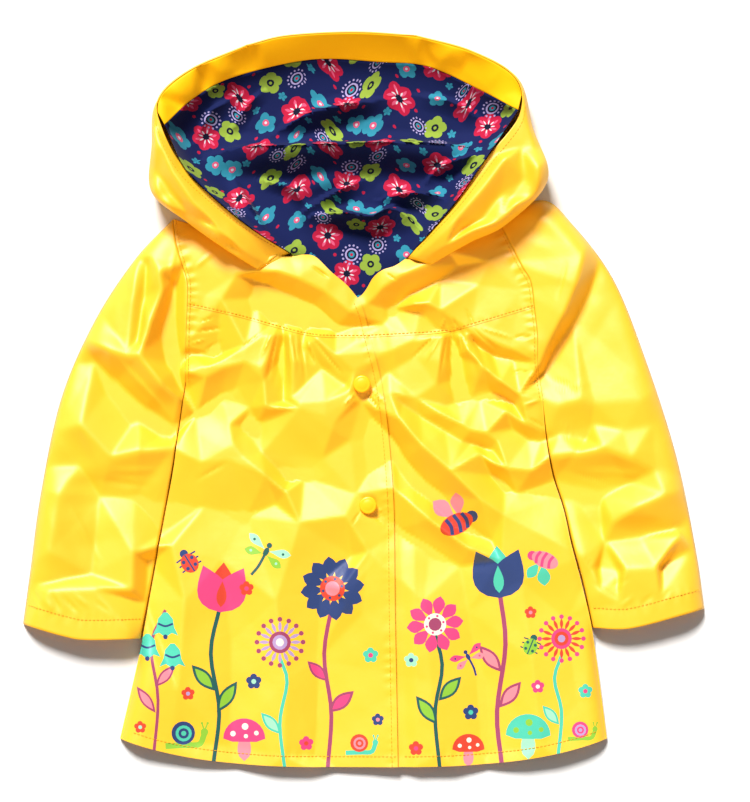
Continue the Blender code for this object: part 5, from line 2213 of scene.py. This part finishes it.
        def lay(px: np.ndarray, py: np.ndarray) -> np.ndarray:
            """Length along the cloth at each place."""
            c, part = share(px, xs)
            r, step = share(py, ys)
            first = length[c, r] * (1 - step) + length[c, r + 1] * step
            second = length[c + 1, r] * (1 - step) + length[c + 1, r + 1] * step
            return first * (1 - part) + second * part

        def take(px: np.ndarray, ps: np.ndarray) -> np.ndarray:
            """The y at each length along the cloth, found by halving."""
            low, high = np.full(np.shape(px), ys[0]), np.full(np.shape(px), ys[-1])
            for _ in range(26):
                middle = (low + high) / 2
                short = lay(px, middle) < ps
                low, high = np.where(short, middle, low), np.where(short, high, middle)
            return (low + high) / 2

        return lay, take


# Radius and height of rings of a cap, from its foot to its crown
CAP_PROFILE = ((7.1, 0.0), (7.3, 0.5), (7.3, 1.5), (7.05, 2.2), (6.6, 2.62), (5.9, 2.8), (5.2, 2.75),
               (4.6, 2.9), (3.6, 3.2), (2.4, 3.42), (1.2, 3.53))
CAP_RADIUS = 7.25


def snap_cap(node: str, x: float, y: float) -> bpy.types.Object:
    """A domed snap cap on the left front.

    Args:
        node: CAD node that it stands for.
        x, y: Its centre.

    Returns:
        The piece.
    """
    turn = np.linspace(0, 2 * math.pi, 48, endpoint=False)
    near = np.linspace(0, CAP_RADIUS, 5)[:, None]
    floor = FORM.upper(x + near * np.cos(turn), y + near * np.sin(turn)).max() + WALL * 1.15 + 0.1
    verts = [(x + r * math.cos(a), y + r * math.sin(a), floor + z) for r, z in CAP_PROFILE for a in turn]
    count, last = len(turn), len(CAP_PROFILE) - 1
    faces = [face for r in range(last) for face in band(r * count, (r + 1) * count, count)]
    faces += [tuple(range(count))[::-1], tuple(range(last * count, (last + 1) * count))]
    piece = make_object(f"cap_{node}", np.array(verts), faces, [SNAP_CAP])
    return Part(node, "snap_caps").seat(piece, cloth=False)


def seam_lines() -> list[tuple[np.ndarray, Height]]:
    """Where topstitching runs on the fronts and sleeves.

    Returns:
        Flat lines and the height of the cloth under them.
    """
    lines = []
    for side, turn in zip(SIDES, (1.0, -1.0)):
        for seam, count, off in ((ARMHOLE_UPPER, 40, 2.4), (ARMHOLE_LOWER, 40, 2.4), (YOKE_SEAM, 60, 2.2)):
            lines.append((beside(spline(seam[side], count), off * turn), FORM.front(side)))
        lines.append((beside(spline(CUFF[side], 50), 17.0 * turn), FORM.upper))
    lines.append((beside(spline(FRONT_EDGE["left"], 120), -5.0), FORM.upper))
    lines.append((beside(spline(YOKE_EDGE["left"], 30), -5.0), FORM.upper))
    lines.append((beside(hem(-196.0, 28.0, 120), 9.0), FORM.upper))
    lines.append((beside(hem(34.0, 198.0, 90), 9.0), FORM.lapped))
    return lines


# Sections of one stitch: place along it as a share, half its width, and its height
STITCH_SECTIONS = ((-0.5, 0.16, 0.1), (-0.3, 0.26, 0.45), (0.3, 0.26, 0.45), (0.5, 0.16, 0.1))


def stitches(lines: Iterable[np.ndarray], pitch: float = 3.3, length: float = 2.3) -> bpy.types.Object:
    """Topstitching: short threads that stand on the cloth.

    Args:
        lines: Lines in space on the cloth's outer face.
        pitch: From one stitch to the next.
        length: Length of a stitch.

    Returns:
        The piece.
    """
    verts, faces = [], []
    for line in lines:
        run = np.linalg.norm(np.diff(line, axis=0), axis=1).sum()
        places = spline(line, 2 * max(int(run / pitch), 2) + 1)
        ahead = np.gradient(places, axis=0)
        ahead /= np.linalg.norm(ahead, axis=1, keepdims=True)
        across = np.column_stack([-ahead[:, 1], ahead[:, 0], np.zeros(len(ahead))])
        across /= np.linalg.norm(across, axis=1, keepdims=True)
        for at, go, turn in zip(places[1::2], ahead[1::2], across[1::2]):
            first = len(verts)
            for end, wide, rise in STITCH_SECTIONS:
                middle, high = at + go * (end * length), (0, 0, rise)
                verts += [middle - turn * wide, middle - turn * wide * 0.6 + high,
                          middle + turn * wide * 0.6 + high, middle + turn * wide]
            for k in range(0, 12, 4):
                faces += band(first + k, first + k + 4, 4)
            faces += [tuple(range(first + 3, first - 1, -1)), tuple(range(first + 12, first + 16))]
    piece = make_object("topstitching", np.array(verts), faces, [THREAD])
    turn_out(piece)
    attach(piece, "root")
    return piece


def topstitching(extra: Iterable[np.ndarray]) -> bpy.types.Object:
    """All the topstitching of the coat.

    Args:
        extra: Lines on the hood.

    Returns:
        The piece.
    """
    lines = list(extra)
    for flat, height in seam_lines():
        spots = ((0, 0), (1, 0), (-1, 0), (0, 1), (0, -1))
        near = [height(flat[:, 0] + dx, flat[:, 1] + dy) for dx, dy in spots]
        steep = np.sqrt(1 + ((near[1] - near[2]) / 2) ** 2 + ((near[3] - near[4]) / 2) ** 2)
        over = np.max(near, axis=0) + WALL * np.minimum(steep, THICKEST) + 0.05
        lines.append(np.column_stack([flat, over]))
    return stitches(lines)


# ---------------------------------------------------------------------------------------------
# Light, floor and view
# ---------------------------------------------------------------------------------------------


@dataclass(frozen=True)
class Studio:
    """The white floor, the light and the view from straight above.

    Attributes:
        middle: Middle of the picture.
        tall: Height of what it shows, in metres.
        away: How far up the view is taken from.
        sensor: Width of the camera's sensor, in its own millimetres.
        sun: Strength of the window light.
        sky: Strength of the even light.
        fill: Strength of the warm light that yellow cloth throws back on itself.
    """

    middle: tuple[float, float] = (0.00966, -0.00084)
    tall: float = 0.6737
    away: float = 5.0
    sensor: float = 36.0
    sun: float = 5.45
    sky: float = 0.25
    fill: float = 1.65

    def lamp(self, name: str, strength: float, rise: float, bearing: float, soft: float,
             color: tuple[float, float, float]) -> bpy.types.Object:
        """Add a far light.

        Args:
            name: Its name.
            strength: Its strength.
            rise: Height over the floor, in degrees.
            bearing: Where it stands, in degrees from +X.
            soft: Apparent width, in degrees.
            color: Its colour.

        Returns:
            The light.
        """
        data = bpy.data.lights.new(name, "SUN")
        data.energy, data.angle, data.color = strength, math.radians(soft), color
        lamp = bpy.data.objects.new(name, data)
        lamp.rotation_euler = (0.0, math.radians(90 - rise), math.radians(bearing))
        lamp.location = (0.0, 0.0, 2.0)
        bpy.context.scene.collection.objects.link(lamp)
        lamp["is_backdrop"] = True
        return lamp

    def build(self) -> None:
        """Set up floor, lights, world and camera."""
        scene = bpy.context.scene
        half = 3000
        corners = np.array([(-half, -half, 0), (half, -half, 0), (half, half, 0), (-half, half, 0)])
        floor = make_object("floor", corners, [(0, 1, 2, 3)], [])
        floor.location.z = -0.0002
        paper = bpy.data.materials.new("white paper")
        paper.use_nodes = True
        shader = paper.node_tree.nodes["Principled BSDF"]
        shader.inputs["Base Color"].default_value = (0.86, 0.86, 0.86, 1.0)
        shader.inputs["Roughness"].default_value = 0.9
        shader.inputs["Specular IOR Level"].default_value = 0.1
        floor.data.materials.append(paper)
        floor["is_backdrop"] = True
        world = bpy.data.worlds.new("studio")
        world.use_nodes = True
        background = world.node_tree.nodes["Background"]
        background.inputs["Color"].default_value = (1.0, 0.985, 0.96, 1.0)
        background.inputs["Strength"].default_value = self.sky
        scene.world = world
        self.lamp("window", self.sun, rise=44, bearing=106, soft=17, color=(1.0, 0.98, 0.95))
        glow = self.lamp("cloth glow", self.fill, rise=30, bearing=-95, soft=40, color=(1.0, 0.7, 0.02))
        lit = bpy.data.collections.new("cloth that the glow reaches")
        for piece in scene.objects:
            unlit = piece is floor or piece.name.startswith(("lining", "neck"))
            if piece.type == "MESH" and not unlit:
                lit.objects.link(piece)
        glow.light_linking.receiver_collection = lit
        data = bpy.data.cameras.new("camera")
        data.sensor_width = self.sensor
        data.lens = self.sensor * self.away / self.tall
        data.clip_end = 20.0
        camera = bpy.data.objects.new("camera", data)
        camera.location = (*self.middle, self.away)
        scene.collection.objects.link(camera)
        scene.camera = camera
        scene.view_settings.view_transform = "Standard"


def write_sizes(frame_box: Sequence[Sequence[float]], model_box: Sequence[Sequence[float]]) -> None:
    """Turn the boxes of the CAD model and of the visual model into plain lists of numbers, which are not
    written out.

    Args:
        frame_box, model_box: Lower and upper corners.
    """
    boxes = [[[float(v) for v in corner] for corner in box] for box in (frame_box, model_box)]


def main() -> None:
    """Build the coat on its frame and light it."""
    logging.basicConfig(level=logging.INFO)
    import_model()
    frame_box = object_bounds()
    fronts, sleeves, hood = Fronts(), Sleeves(), Hood()
    garden, floral = hem_design(), lining_design()
    fronts.back()
    for side in SIDES:
        fronts.front(side, garden)
        fronts.yoke(side)
        sleeves.sleeve(side)
    hood.facing(hood.outer())
    hood.lining(floral)
    for node, (x, y) in BUTTONS.items():
        snap_cap(node, x, y)
    topstitching(hood.edge_lines)
    Studio().build()
    write_sizes(frame_box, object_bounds())


if __name__ == "__main__":
    main()
